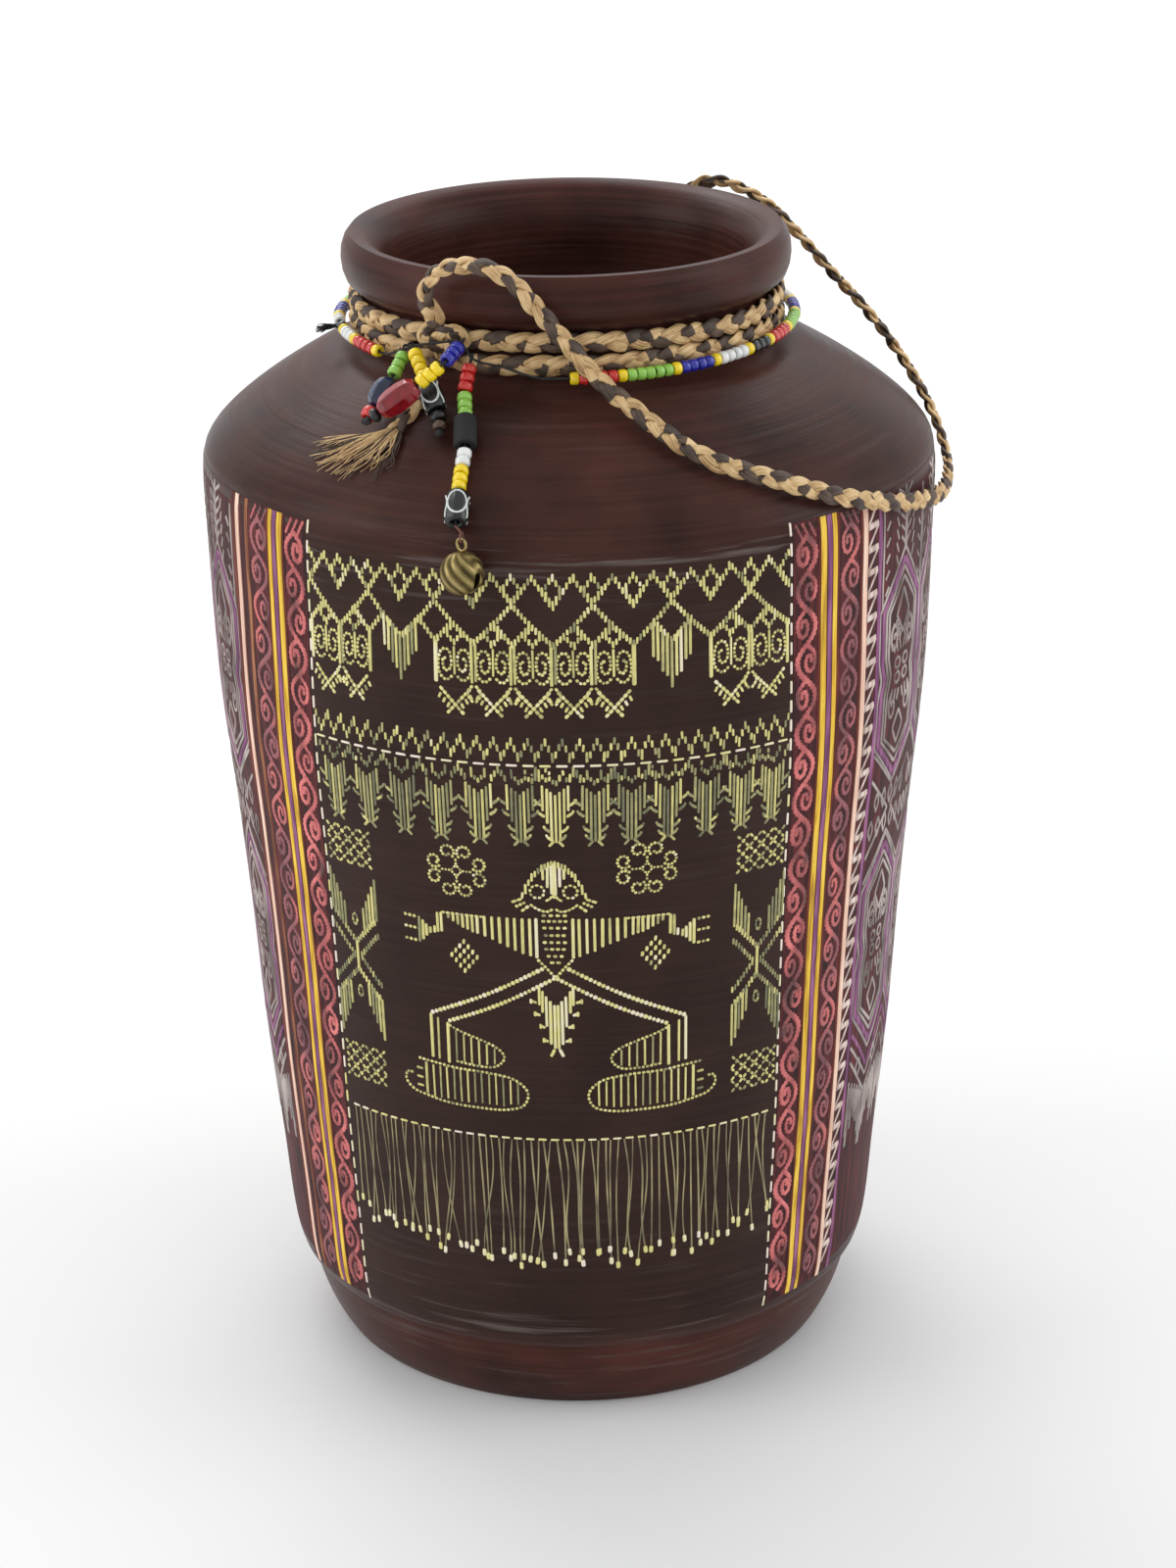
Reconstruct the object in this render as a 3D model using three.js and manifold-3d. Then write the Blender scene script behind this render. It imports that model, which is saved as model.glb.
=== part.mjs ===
// A wheel-thrown pottery vase with a braided fibre carrying strap, a seed-bead necklace and four bead
// drops, one of them ending in a small brass bell. Millimetres, +Z up, the viewer's side is -Y. The origin
// is the middle of the flat base.
import * as THREE from "three";
import Module from "manifold-3d";
import { mergeVertices } from "three/addons/utils/BufferGeometryUtils.js";

const wasm = await Module();
wasm.setup();

// Driving dimensions of the pot
const FOOT_RADIUS = 70.8; // where it stands
const FOOT_TOP_RADIUS = 79.6;
const FOOT_HEIGHT = 22;
const LEDGE_RADIUS = 83.4; // the wall's rounded lower edge, which overhangs the foot
const LEDGE_RISE = 6;
const LOWER_RADIUS = 89.4;
const MIDDLE_RADIUS = 93.6;
const UPPER_RADIUS = 99;
const SHOULDER_RADIUS = 100; // the widest place, at the top of the painted wall
const WALL_HEIGHT = 233.5; // from the ledge to the shoulder's edge
const SHOULDER_RISE = 28.1;
const SHOULDER_TOP_RADIUS = 64.3;
const NECK_RADIUS = 55.5;
const NECK_FILLET_RISE = 5.2;
const LIP_RADIUS = 60.8;
const LIP_CREST_RADIUS = 57.6; // where it is highest
const LIP_HEIGHT = 15.4;
const MOUTH_RADIUS = 48.6;
const WALL = 7;
const FLOOR = 9;
const FLOOR_CORNER = 14; // the inside's rounded lower corner

// Driving dimensions of the braid, the beads and the bell
const BRAID_WIDTH = 5.3;
const BRAID_THICKNESS = 3;
const WRAP_GAP = 0.45; // between the two turns round the neck
const FIT = 0.35; // between pieces that lie on each other
const WRAP_LEVELS = 2;
const WRAP_SEAT = 2.6; // from the foot of the straight neck to the middle of the lower turn
const SEED_RADIUS = 2;
const SEED_LENGTH = 2.5;
const SEED_EDGE_RADIUS = 1.45;
const THREAD_RADIUS = 0.35;
const THREAD_CLEARANCE = 0.32;
const EYE_RADIUS = 1.2; // of a thread's loop, to the middle of the thread
const EYE_THREAD_RADIUS = 0.3;
const EYE_CLEARANCE = 0.3;
const STOPPER_RADIUS = 1.1;
const BEAD_GAP = 0.3; // between neighbours on a thread
const GEM_RADIUS = 3.3; // the faceted blue bead
const GEM_LENGTH = 8.6;
const LARGE_GEM_RADIUS = 3.8; // the faceted red bead
const LARGE_GEM_LENGTH = 12;
const HORN_RADIUS = 3.3; // the carved bead that ends the horn drop
const HORN_LENGTH = 10.2;
const LARGE_HORN_RADIUS = 3.5; // the carved bead over the bell
const LARGE_HORN_LENGTH = 9.8;
const TUBE_RADIUS = 3.05;
const TUBE_LENGTH = 9.6;
const END_BEAD_RADIUS = 2.1;
const END_BEAD_LENGTH = 2.8;
const BELL_RADIUS = 5.7;
const BELL_WALL = 0.8;
const BELL_SLIT = 1.7;
const BELL_RING_RADIUS = 1.9; // to the middle of the brass
const BELL_RING_THICKNESS = 1.2;
const PELLET_RADIUS = 1.6;

// Heights that follow from them
const ledgeZ = FOOT_HEIGHT + LEDGE_RISE;
const shoulderEdgeZ = ledgeZ + WALL_HEIGHT;
const shoulderTopZ = shoulderEdgeZ + SHOULDER_RISE;
const neckZ = shoulderTopZ + NECK_FILLET_RISE;
const wrapPitch = BRAID_WIDTH + WRAP_GAP;
const firstWrapZ = neckZ + WRAP_SEAT;
const lipBottomZ = firstWrapZ + wrapPitch * (WRAP_LEVELS - 0.5) + 0.1;

const clay = new THREE.MeshStandardMaterial({ color: 0x35211d, roughness: 0.55, metalness: 0 });
const straw = new THREE.MeshStandardMaterial({ color: 0xb98d55, roughness: 0.8, metalness: 0 });
const blackThread = new THREE.MeshStandardMaterial({ color: 0x14110f, roughness: 0.9, metalness: 0 });
const brownThread = new THREE.MeshStandardMaterial({ color: 0x5b3223, roughness: 0.9, metalness: 0 });
const mixedBeads = new THREE.MeshStandardMaterial({ color: 0xd8c64a, roughness: 0.3, metalness: 0 });
const redBead = new THREE.MeshStandardMaterial({ color: 0xc01f22, roughness: 0.25, metalness: 0 });
const yellowBead = new THREE.MeshStandardMaterial({ color: 0xf2dc12, roughness: 0.25, metalness: 0 });
const greenBead = new THREE.MeshStandardMaterial({ color: 0x8fd16a, roughness: 0.25, metalness: 0 });
const blueBead = new THREE.MeshStandardMaterial({ color: 0x1a1c94, roughness: 0.25, metalness: 0 });
const whiteBead = new THREE.MeshStandardMaterial({ color: 0xf1f1ee, roughness: 0.25, metalness: 0 });
const horn = new THREE.MeshStandardMaterial({ color: 0x14171a, roughness: 0.45, metalness: 0 });
const navyGlass = new THREE.MeshStandardMaterial({ color: 0x10244a, roughness: 0.12, metalness: 0 });
const redGlass = new THREE.MeshStandardMaterial({ color: 0x9c0b17, roughness: 0.12, metalness: 0 });
const brass = new THREE.MeshStandardMaterial({ color: 0x8a7434, roughness: 0.4, metalness: 1 });

const vase = new THREE.Group();

function add(parent, name, geometry, material, x = 0, y = 0, z = 0) {
  const mesh = new THREE.Mesh(geometry, material);
  mesh.name = name;
  mesh.position.set(x, y, z);
  parent.add(mesh);
  return mesh;
}

// A point round the vase. Azimuth is in degrees, 0 at the front and 90 at +X.
function around(azimuth, radius, height) {
  const a = THREE.MathUtils.degToRad(azimuth);
  return new THREE.Vector3(radius * Math.sin(a), -radius * Math.cos(a), height);
}

// Solids for the few pieces that are joined or cut
function solid(geometry) {
  const bare = geometry.index ? geometry.toNonIndexed() : geometry.clone();
  const places = new THREE.BufferGeometry().setAttribute("position", bare.getAttribute("position"));
  const merged = mergeVertices(places, 1e-4);
  return new wasm.Manifold(
    new wasm.Mesh({
      numProp: 3,
      vertProperties: new Float32Array(merged.attributes.position.array),
      triVerts: new Uint32Array(merged.index.array),
    }),
  );
}

function geometryOf(made) {
  const mesh = made.getMesh();
  return new THREE.BufferGeometry()
    .setAttribute("position", new THREE.BufferAttribute(new Float32Array(mesh.vertProperties), 3))
    .setIndex(new THREE.BufferAttribute(new Uint32Array(mesh.triVerts), 1));
}

// The pot, turned from one outline of radius and height
const wallCurve = new THREE.SplineCurve([
  new THREE.Vector2(LEDGE_RADIUS, ledgeZ),
  new THREE.Vector2(LOWER_RADIUS, ledgeZ + WALL_HEIGHT * 0.25),
  new THREE.Vector2(MIDDLE_RADIUS, ledgeZ + WALL_HEIGHT * 0.5),
  new THREE.Vector2(UPPER_RADIUS, ledgeZ + WALL_HEIGHT * 0.76),
  new THREE.Vector2(SHOULDER_RADIUS, shoulderEdgeZ),
]);
const shoulderCurve = new THREE.CubicBezierCurve(
  new THREE.Vector2(SHOULDER_RADIUS, shoulderEdgeZ),
  new THREE.Vector2(SHOULDER_RADIUS, shoulderEdgeZ + SHOULDER_RISE * 0.28),
  new THREE.Vector2(
    SHOULDER_TOP_RADIUS + (SHOULDER_RADIUS - SHOULDER_TOP_RADIUS) * 0.24,
    shoulderTopZ - SHOULDER_RISE * 0.14,
  ),
  new THREE.Vector2(SHOULDER_TOP_RADIUS, shoulderTopZ),
);
const neckFillet = new THREE.QuadraticBezierCurve(
  new THREE.Vector2(SHOULDER_TOP_RADIUS, shoulderTopZ),
  new THREE.Vector2(NECK_RADIUS + 0.6, shoulderTopZ + NECK_FILLET_RISE * 0.4),
  new THREE.Vector2(NECK_RADIUS, neckZ),
);

// The place and outward normal on the shoulder at a radius, and a point raised from it
function shoulderAt(radius) {
  let low = 0;
  let high = 1;
  for (let i = 0; i < 40; i++) {
    const middle = (low + high) / 2;
    if (shoulderCurve.getPoint(middle).x > radius) low = middle;
    else high = middle;
  }
  const tangent = shoulderCurve.getTangent(low);
  return { place: shoulderCurve.getPoint(low), normal: new THREE.Vector2(tangent.y, -tangent.x) };
}

function onShoulder(azimuth, radius, lift) {
  const { place, normal } = shoulderAt(radius);
  return around(azimuth, place.x + normal.x * lift, place.y + normal.y * lift);
}

// The lip flares from the neck, and its crest stands outside the middle of the wall
const lipPoint = (radius, share) => new THREE.Vector2(radius, lipBottomZ + LIP_HEIGHT * share);
const lipCurve = new THREE.SplineCurve([
  lipPoint(NECK_RADIUS, 0),
  lipPoint(LIP_RADIUS - 1.4, 0.17),
  lipPoint(LIP_RADIUS, 0.48),
  lipPoint(LIP_RADIUS - 0.5, 0.8),
  lipPoint(LIP_CREST_RADIUS, 1),
  lipPoint((LIP_CREST_RADIUS + MOUTH_RADIUS) / 2, 0.85),
  lipPoint(MOUTH_RADIUS + 1.2, 0.58),
  lipPoint(MOUTH_RADIUS, 0.24),
]);

function potOutline() {
  const outside = [
    new THREE.Vector2(0, 0),
    new THREE.Vector2(FOOT_RADIUS, 0),
    ...new THREE.QuadraticBezierCurve(
      new THREE.Vector2(FOOT_RADIUS + 1, 1),
      new THREE.Vector2(FOOT_TOP_RADIUS - 2, FOOT_HEIGHT * 0.45),
      new THREE.Vector2(FOOT_TOP_RADIUS, FOOT_HEIGHT),
    ).getPoints(3),
    new THREE.Vector2((FOOT_TOP_RADIUS + LEDGE_RADIUS) / 2, FOOT_HEIGHT + LEDGE_RISE * 0.25),
    ...wallCurve.getPoints(7),
    ...shoulderCurve.getPoints(8).slice(1),
    ...neckFillet.getPoints(3).slice(1),
    ...lipCurve.getPoints(13),
  ];
  const inward = (curve, steps) =>
    Array.from({ length: steps + 1 }, (_, i) => {
      const place = curve.getPoint(i / steps);
      const tangent = curve.getTangent(i / steps);
      return new THREE.Vector2(place.x - tangent.y * WALL, place.y + tangent.x * WALL);
    });
  const inside = [
    new THREE.Vector2(MOUTH_RADIUS - 0.2, neckZ - 1),
    ...inward(shoulderCurve, 5).reverse().filter((p) => p.x > MOUTH_RADIUS + 3),
    ...inward(wallCurve, 4).reverse().slice(1, -1),
    ...new THREE.QuadraticBezierCurve(
      new THREE.Vector2(LEDGE_RADIUS - WALL - 1, FLOOR + FLOOR_CORNER),
      new THREE.Vector2(LEDGE_RADIUS - WALL - 4, FLOOR),
      new THREE.Vector2(LEDGE_RADIUS - WALL - FLOOR_CORNER, FLOOR),
    ).getPoints(3),
    new THREE.Vector2(0, FLOOR),
  ];
  return [...outside, ...inside];
}

const POT_SEGMENTS = 44;
const pot = new THREE.LatheGeometry(potOutline(), POT_SEGMENTS).rotateX(Math.PI / 2);
add(vase, "pot", pot, clay);

// A braid or thread along a path, with its flat side turned to a chosen direction at each place
class Laid extends THREE.Curve {
  constructor(place, facing) {
    super();
    this.place = place;
    this.facing = facing;
  }
  getPoint(t, target = new THREE.Vector3()) {
    return target.copy(this.place(t));
  }
  computeFrenetFrames(segments) {
    const frames = { tangents: [], normals: [], binormals: [] };
    for (let i = 0; i <= segments; i++) {
      const tangent = this.getTangentAt(i / segments);
      const out = this.facing(this.getPointAt(i / segments), this.getUtoTmapping(i / segments));
      const normal = out.clone().addScaledVector(tangent, -out.dot(tangent)).normalize();
      frames.tangents.push(tangent);
      frames.normals.push(normal);
      frames.binormals.push(new THREE.Vector3().crossVectors(tangent, normal));
    }
    return frames;
  }
}

const outward = (point) => new THREE.Vector3(point.x, point.y, 0).normalize();

function oval(thickness, width, sides) {
  const edge = new THREE.EllipseCurve(0, 0, thickness / 2, width / 2, 0, Math.PI * 2);
  return new THREE.Shape(edge.getPoints(sides).slice(0, -1));
}

function laid(path, section, steps) {
  const settings = { steps, curveSegments: 1, bevelEnabled: false, extrudePath: path };
  return new THREE.ExtrudeGeometry(section, settings);
}

// The least distance between two stretches of one winding, measured between points of its outline
function leastGap(path, thickness, width, steps) {
  const frames = path.computeFrenetFrames(steps);
  const centres = path.getSpacedPoints(steps);
  const edges = centres.map((centre, i) =>
    Array.from({ length: 8 }, (_, k) => {
      const a = (k / 8) * Math.PI * 2;
      const through = (Math.cos(a) * thickness) / 2;
      const across = (Math.sin(a) * width) / 2;
      const place = centre.clone().addScaledVector(frames.normals[i], through);
      return place.addScaledVector(frames.binormals[i], across);
    }),
  );
  let least = Infinity;
  for (let i = 0; i < centres.length; i++) {
    for (let j = i + Math.ceil(steps / 8); j < centres.length; j++) {
      if (centres[i].distanceTo(centres[j]) > width * 1.5) continue;
      for (const one of edges[i]) {
        for (const other of edges[j]) least = Math.min(least, one.distanceTo(other));
      }
    }
  }
  return least;
}

// The braid goes twice round the neck, level except where it climbs behind the knot
const KNOT_AZIMUTH = -32;
const KNOT_HALF_ANGLE = 10.5;
const WRAP_STEPS_A_TURN = 24;
const wrapRadius = (NECK_RADIUS + FIT + BRAID_THICKNESS / 2) / Math.cos(Math.PI / WRAP_STEPS_A_TURN);
const wrapOutside = wrapRadius + BRAID_THICKNESS / 2;
const levelTurn = 360 - KNOT_HALF_ANGLE * 2;
const wrapAngle = levelTurn * WRAP_LEVELS + KNOT_HALF_ANGLE * 2 * (WRAP_LEVELS - 1);
const wrapPath = new Laid((t) => {
  const turned = t * wrapAngle;
  const level = Math.floor(turned / 360);
  const climb = THREE.MathUtils.smoothstep(turned - level * 360, levelTurn, 360);
  const z = firstWrapZ + (level + climb) * wrapPitch;
  return around(KNOT_AZIMUTH + KNOT_HALF_ANGLE + turned, wrapRadius, z);
}, outward);
const wrapSteps = Math.round((WRAP_STEPS_A_TURN * wrapAngle) / 360);
add(vase, "neck_wrap", laid(wrapPath, oval(BRAID_THICKNESS, BRAID_WIDTH, 8), wrapSteps), straw);
const wrapGap = leastGap(wrapPath, BRAID_THICKNESS, BRAID_WIDTH, 1400);
console.log("least gap of neck_wrap to itself", wrapGap.toFixed(2));

// An overhand knot of the braid, drawn tight and flat against the wraps
const KNOT_HALF_WIDTH = 7.4;
const KNOT_HALF_HEIGHT = 6;
const KNOT_BRAID_WIDTH = 2.1;
const KNOT_BRAID_THICKNESS = 1.2;
const KNOT_LAYER = 1.2; // each strand's rise and dip where it passes over and under
const FRONT_KNOT_RISE = 3.2; // above the middle of the two turns
const REAR_KNOT_RISE = 4.8;
const wrapMiddleZ = firstWrapZ + wrapPitch * 0.5;
const knotRadius = wrapOutside + FIT + KNOT_BRAID_THICKNESS / 2 + KNOT_LAYER;

function knot(azimuth, rise) {
  const path = new Laid(
    (t) => {
      const a = THREE.MathUtils.lerp(0.16, Math.PI * 2 - 0.16, t) + Math.PI;
      const across = ((Math.sin(a) + 2 * Math.sin(2 * a)) / 3) * KNOT_HALF_WIDTH;
      const up = ((Math.cos(a) - 2 * Math.cos(2 * a)) / 3) * KNOT_HALF_HEIGHT;
      const turn = THREE.MathUtils.radToDeg(across / knotRadius);
      return around(azimuth + turn, knotRadius - Math.sin(3 * a) * KNOT_LAYER, wrapMiddleZ + rise + up);
    },
    outward,
  );
  return laid(path, oval(KNOT_BRAID_THICKNESS, KNOT_BRAID_WIDTH, 6), 36);
}

add(vase, "front_knot", knot(KNOT_AZIMUTH, FRONT_KNOT_RISE), straw);
const REAR_KNOT_AZIMUTH = 152;
add(vase, "rear_knot", knot(REAR_KNOT_AZIMUTH, REAR_KNOT_RISE), straw);

// The carrying strap: out of the front knot, over the lip, down across the shoulder, round its right edge,
// and up behind the lip to the rear knot
const STRAP_WIDTH = 5.6;
const STRAP_THICKNESS = 2.6;
const STRAP_STEPS = 78;
const strapRoute = [
  [-32.6, -55.6, 308.6],
  [-36.5, -57.0, 316.5],
  [-34.5, -57.5, 322.0],
  [-29.5, -61.5, 325.5],
  [-22.0, -64.5, 326.0],
  [-16.0, -66.0, 324.0],
  [-10.5, -66.5, 319.0],
  [-4.5, -66.5, 311.5],
  [2.5, -67.0, 303.0],
  [9.0, -68.5, 296.0],
  [15.5, -71.0, 291.0],
  [22.0, -75.0, 286.5],
  [30.5, -79.0, 281.5],
  [40.0, -81.0, 277.5],
  [50.5, -80.5, 274.0],
  [60.5, -78.5, 270.5],
  [71.5, -73.5, 266.0],
  [82.5, -63.0, 261.5],
  [91.5, -50.0, 257.5],
  [98.5, -34.5, 254.5],
  [102.5, -18.5, 253.0],
  [104.0, -4.5, 254.5],
  [103.0, 6.5, 259.5],
  [100.0, 15.0, 266.5],
  [93.0, 24.5, 277.5],
  [84.0, 31.5, 288.5],
  [74.5, 38.0, 298.0],
  [65.5, 43.5, 307.5],
  [57.5, 48.0, 315.0],
  [51.0, 51.5, 318.5],
  [44.0, 55.0, 320.5],
  [37.5, 59.0, 318.5],
  [33.6, 58.6, 313.6],
  [30.4, 57.6, 309.4],
].map((p) => new THREE.Vector3(...p));
const strapLine = new THREE.CatmullRomCurve3(strapRoute);
const STRAP_FACING_HEIGHT = 238; // the flat side looks away from this point of the axis
const strapPath = new Laid(
  (t) => strapLine.getPoint(t),
  (point) => new THREE.Vector3(point.x, point.y, point.z - STRAP_FACING_HEIGHT).normalize(),
);
add(vase, "carrying_strap", laid(strapPath, oval(STRAP_THICKNESS, STRAP_WIDTH, 8), STRAP_STEPS), straw);
console.log("length of carrying_strap", strapPath.getLength().toFixed(1));

// The knot's loose tail lies down the shoulder and ends in a frayed brush of fibres
const TAIL_AZIMUTH = -33.5;
const TAIL_START_RADIUS = 65.5;
const TAIL_END_RADIUS = 79;
const tailLift = FIT + BRAID_THICKNESS / 2;
const shoulderOut = (point) => {
  const radius = Math.min(Math.hypot(point.x, point.y), SHOULDER_RADIUS - 2);
  const { normal } = shoulderAt(Math.max(radius, SHOULDER_TOP_RADIUS + 1));
  return outward(point).multiplyScalar(normal.x).setZ(normal.y);
};
const tailPath = new Laid(
  (t) => {
    const radius = THREE.MathUtils.lerp(TAIL_START_RADIUS, TAIL_END_RADIUS, t);
    return onShoulder(TAIL_AZIMUTH - 1.5 * t, radius, tailLift);
  },
  shoulderOut,
);
add(vase, "tail", laid(tailPath, oval(BRAID_THICKNESS, BRAID_WIDTH * 0.9, 8), 5), straw);

const FRAY_TURN = -7.5; // degrees round the vase from the tail's end to the brush's tip
const FRAY_END_RADIUS = 91.5;
const FRAY_WIDTH = 17;
const FRAY_STEPS = 7;
function frayedEnd() {
  const rings = [];
  const sides = 8;
  for (let i = 0; i <= FRAY_STEPS; i++) {
    const t = i / FRAY_STEPS;
    const radius = THREE.MathUtils.lerp(TAIL_END_RADIUS + 0.5, FRAY_END_RADIUS, t);
    const half = THREE.MathUtils.lerp(BRAID_WIDTH * 0.45, FRAY_WIDTH / 2, Math.sqrt(t));
    const thick = BRAID_THICKNESS / 2 + 0.7 * Math.sin(Math.PI * t);
    const { normal } = shoulderAt(radius);
    const middle = onShoulder(TAIL_AZIMUTH - 1.5 + FRAY_TURN * t, radius, FIT + thick + half * half * 0.012);
    const out = outward(middle);
    const up = out.clone().multiplyScalar(normal.x).setZ(normal.y);
    const side = new THREE.Vector3(-out.y, out.x, 0);
    rings.push(
      Array.from({ length: sides }, (_, k) => {
        const a = (k / sides) * Math.PI * 2;
        const place = middle.clone().addScaledVector(side, Math.cos(a) * half);
        return place.addScaledVector(up, Math.sin(a) * thick);
      }),
    );
  }
  const places = rings.flat();
  const first = rings[0].reduce((sum, p) => sum.add(p), new THREE.Vector3()).divideScalar(sides);
  const last = rings.at(-1).reduce((sum, p) => sum.add(p), new THREE.Vector3()).divideScalar(sides);
  places.push(first, last);
  const faces = [];
  for (let k = 0; k < sides; k++) {
    const next = (k + 1) % sides;
    for (let i = 0; i < FRAY_STEPS; i++) {
      const [a, b, c, d] = [i * sides + k, i * sides + next, (i + 1) * sides + next, (i + 1) * sides + k];
      faces.push(a, b, c, a, c, d);
    }
    faces.push(places.length - 2, next, k);
    faces.push(places.length - 1, FRAY_STEPS * sides + k, FRAY_STEPS * sides + next);
  }
  return new THREE.BufferGeometry().setFromPoints(places).setIndex(faces);
}
add(vase, "frayed_end", frayedEnd(), straw);

// Seed beads, strung on a thread: a run is one turned piece with a waist between beads and the thread's
// hole through it
const boreRadius = THREAD_RADIUS + THREAD_CLEARANCE;
function seedOutline(count, length, boreSteps) {
  const outline = [new THREE.Vector2(boreRadius, 0)];
  for (let i = 0; i < count; i++) {
    outline.push(new THREE.Vector2(SEED_EDGE_RADIUS, i * length));
    outline.push(new THREE.Vector2(SEED_RADIUS, (i + 0.5) * length));
  }
  outline.push(new THREE.Vector2(SEED_EDGE_RADIUS, count * length));
  for (let i = boreSteps; i >= 0; i--) {
    outline.push(new THREE.Vector2(boreRadius, (i / boreSteps) * count * length));
  }
  return outline;
}

const seedRun = (count) => new THREE.LatheGeometry(seedOutline(count, SEED_LENGTH, 1), 8);

// The necklace lies round the foot of the neck, against the braid, and rises a little at both sides. It is
// open behind the front knot.
const NECKLACE_CLEARANCE = 0.4;
const necklaceRadius = wrapOutside + NECKLACE_CLEARANCE + SEED_RADIUS;
const NECKLACE_RISE = 2; // at the sides, where the braid pushes it up
const necklaceZ = (azimuth) =>
  shoulderTopZ + SEED_RADIUS + 3.9 + NECKLACE_RISE * Math.sin(THREE.MathUtils.degToRad(azimuth)) ** 2;
const onNecklace = (azimuth) => around(azimuth, necklaceRadius, necklaceZ(azimuth));
const NECKLACE_START = 0.4;
const NECKLACE_END = 309;
const STRAND_BEADS = 26;
const STRAND_GAP = 0.35;
const TUFT_AZIMUTH = 280;
const TUFT_HALF_ANGLE = 1.6;
const seedAngle = THREE.MathUtils.radToDeg(SEED_LENGTH / necklaceRadius);
const strandGapAngle = THREE.MathUtils.radToDeg(STRAND_GAP / necklaceRadius);

function necklaceStrand(start, count) {
  const straight = new THREE.LatheGeometry(seedOutline(count, SEED_LENGTH, Math.ceil(count / 2)), 6);
  const place = straight.getAttribute("position");
  for (let i = 0; i < place.count; i++) {
    const azimuth = start + (place.getY(i) / SEED_LENGTH) * seedAngle;
    const bent = around(azimuth, necklaceRadius + place.getX(i), necklaceZ(azimuth) + place.getZ(i));
    place.setXYZ(i, bent.x, bent.y, bent.z);
  }
  return straight;
}

let strandNumber = 1;
for (const [from, to] of [
  [NECKLACE_START, TUFT_AZIMUTH - TUFT_HALF_ANGLE],
  [TUFT_AZIMUTH + TUFT_HALF_ANGLE, NECKLACE_END],
]) {
  let start = from;
  while (start + seedAngle * 2 < to) {
    const count = Math.min(STRAND_BEADS, Math.floor((to - start) / seedAngle));
    add(vase, `necklace_beads_${strandNumber}`, necklaceStrand(start, count), mixedBeads);
    strandNumber += 1;
    start += seedAngle * count + strandGapAngle;
  }
}

// The necklace's thread. Its ends meet in a tuft on the left. In front it leaves the beads and crosses the
// knot, where the four drops hang from it.
const TIE_CLEARANCE = 1.7;
const knotFront = knotRadius + KNOT_LAYER + KNOT_BRAID_THICKNESS / 2;
const tieRadius = knotFront + TIE_CLEARANCE;
const ties = {
  blue: around(-41.6, tieRadius - 2, firstWrapZ + 2.6),
  horn: around(-38.6, tieRadius - 0.6, firstWrapZ + 4.2),
  red: around(-24.6, tieRadius, firstWrapZ + 7.4),
  bell: around(-22.8, tieRadius - 1.2, firstWrapZ + 3),
};
const necklaceRun = (from, to, steps) =>
  Array.from({ length: steps + 1 }, (_, i) => onNecklace(THREE.MathUtils.lerp(from, to, i / steps)));
const threadPlaces = [
  ...necklaceRun(TUFT_AZIMUTH + 0.4, NECKLACE_END + 1, 7),
  around(-46, (necklaceRadius + tieRadius) / 2, (necklaceZ(-46) + ties.blue.z) / 2),
  ties.blue,
  ties.horn,
  around(-31, tieRadius + 0.8, firstWrapZ + 6.6),
  ties.red,
  ties.bell,
  around(-15, (necklaceRadius + tieRadius) / 2, firstWrapZ + 1.2),
  around(-7, necklaceRadius, necklaceZ(-7)),
  ...necklaceRun(-1, TUFT_AZIMUTH - 0.4, 49),
];
const threadLine = new THREE.CatmullRomCurve3(threadPlaces, false, "centripetal");
const threadTangent = (tie) => threadLine.getTangent(threadPlaces.indexOf(tie) / (threadPlaces.length - 1));
const threadPath = new Laid((t) => threadLine.getPoint(t), outward);
const threadSection = oval(THREAD_RADIUS * 2, THREAD_RADIUS * 2, 5);
add(vase, "necklace_thread", laid(threadPath, threadSection, 140), blackThread);

// The tuft where the thread's ends are tied
const TUFT_LENGTH = 5.5;
const TUFT_RADIUS = 1.5;
const tuftFoot = around(TUFT_AZIMUTH, necklaceRadius + THREAD_RADIUS + 0.5, necklaceZ(TUFT_AZIMUTH) + 0.3);
const tuftShape = [[0, 0], [0.6, 0.02], [1, 0.3], [0.6, 0.6], [0.9, 0.9], [0, 1]].map(
  ([across, along]) => new THREE.Vector2(across * TUFT_RADIUS, along * TUFT_LENGTH),
);
const tuft = add(vase, "thread_tuft", new THREE.LatheGeometry(tuftShape, 7), blackThread);
tuft.position.copy(tuftFoot);
tuft.quaternion.setFromUnitVectors(new THREE.Vector3(0, 1, 0), outward(tuftFoot).setZ(-0.2).normalize());

// A place beside the pot: round it, down its outer outline from the top of the shoulder, and clear of it
const outerPlaces = [
  ...shoulderCurve.getSpacedPoints(120).reverse(),
  ...wallCurve.getSpacedPoints(300).reverse().slice(1),
];
function besidePot(azimuth, distance, lift) {
  let gone = 0;
  let i = 1;
  let step = outerPlaces[0].distanceTo(outerPlaces[1]);
  while (gone + step < distance) {
    gone += step;
    i += 1;
    step = outerPlaces[i - 1].distanceTo(outerPlaces[i]);
  }
  const along = outerPlaces[i].clone().sub(outerPlaces[i - 1]).divideScalar(step);
  const place = outerPlaces[i - 1].clone().addScaledVector(along, distance - gone);
  return around(azimuth, place.x - along.y * lift, place.y + along.x * lift);
}

// A bead turned from a list of [share of its radius, share of its length], with the thread's hole
function turnedBead(radius, length, sides, shares) {
  return new THREE.LatheGeometry(
    [
      new THREE.Vector2(boreRadius, 0),
      ...shares.map(([across, along]) => new THREE.Vector2(radius * across, length * along)),
      new THREE.Vector2(boreRadius, length),
      new THREE.Vector2(boreRadius, 0),
    ],
    sides,
  );
}

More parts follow.
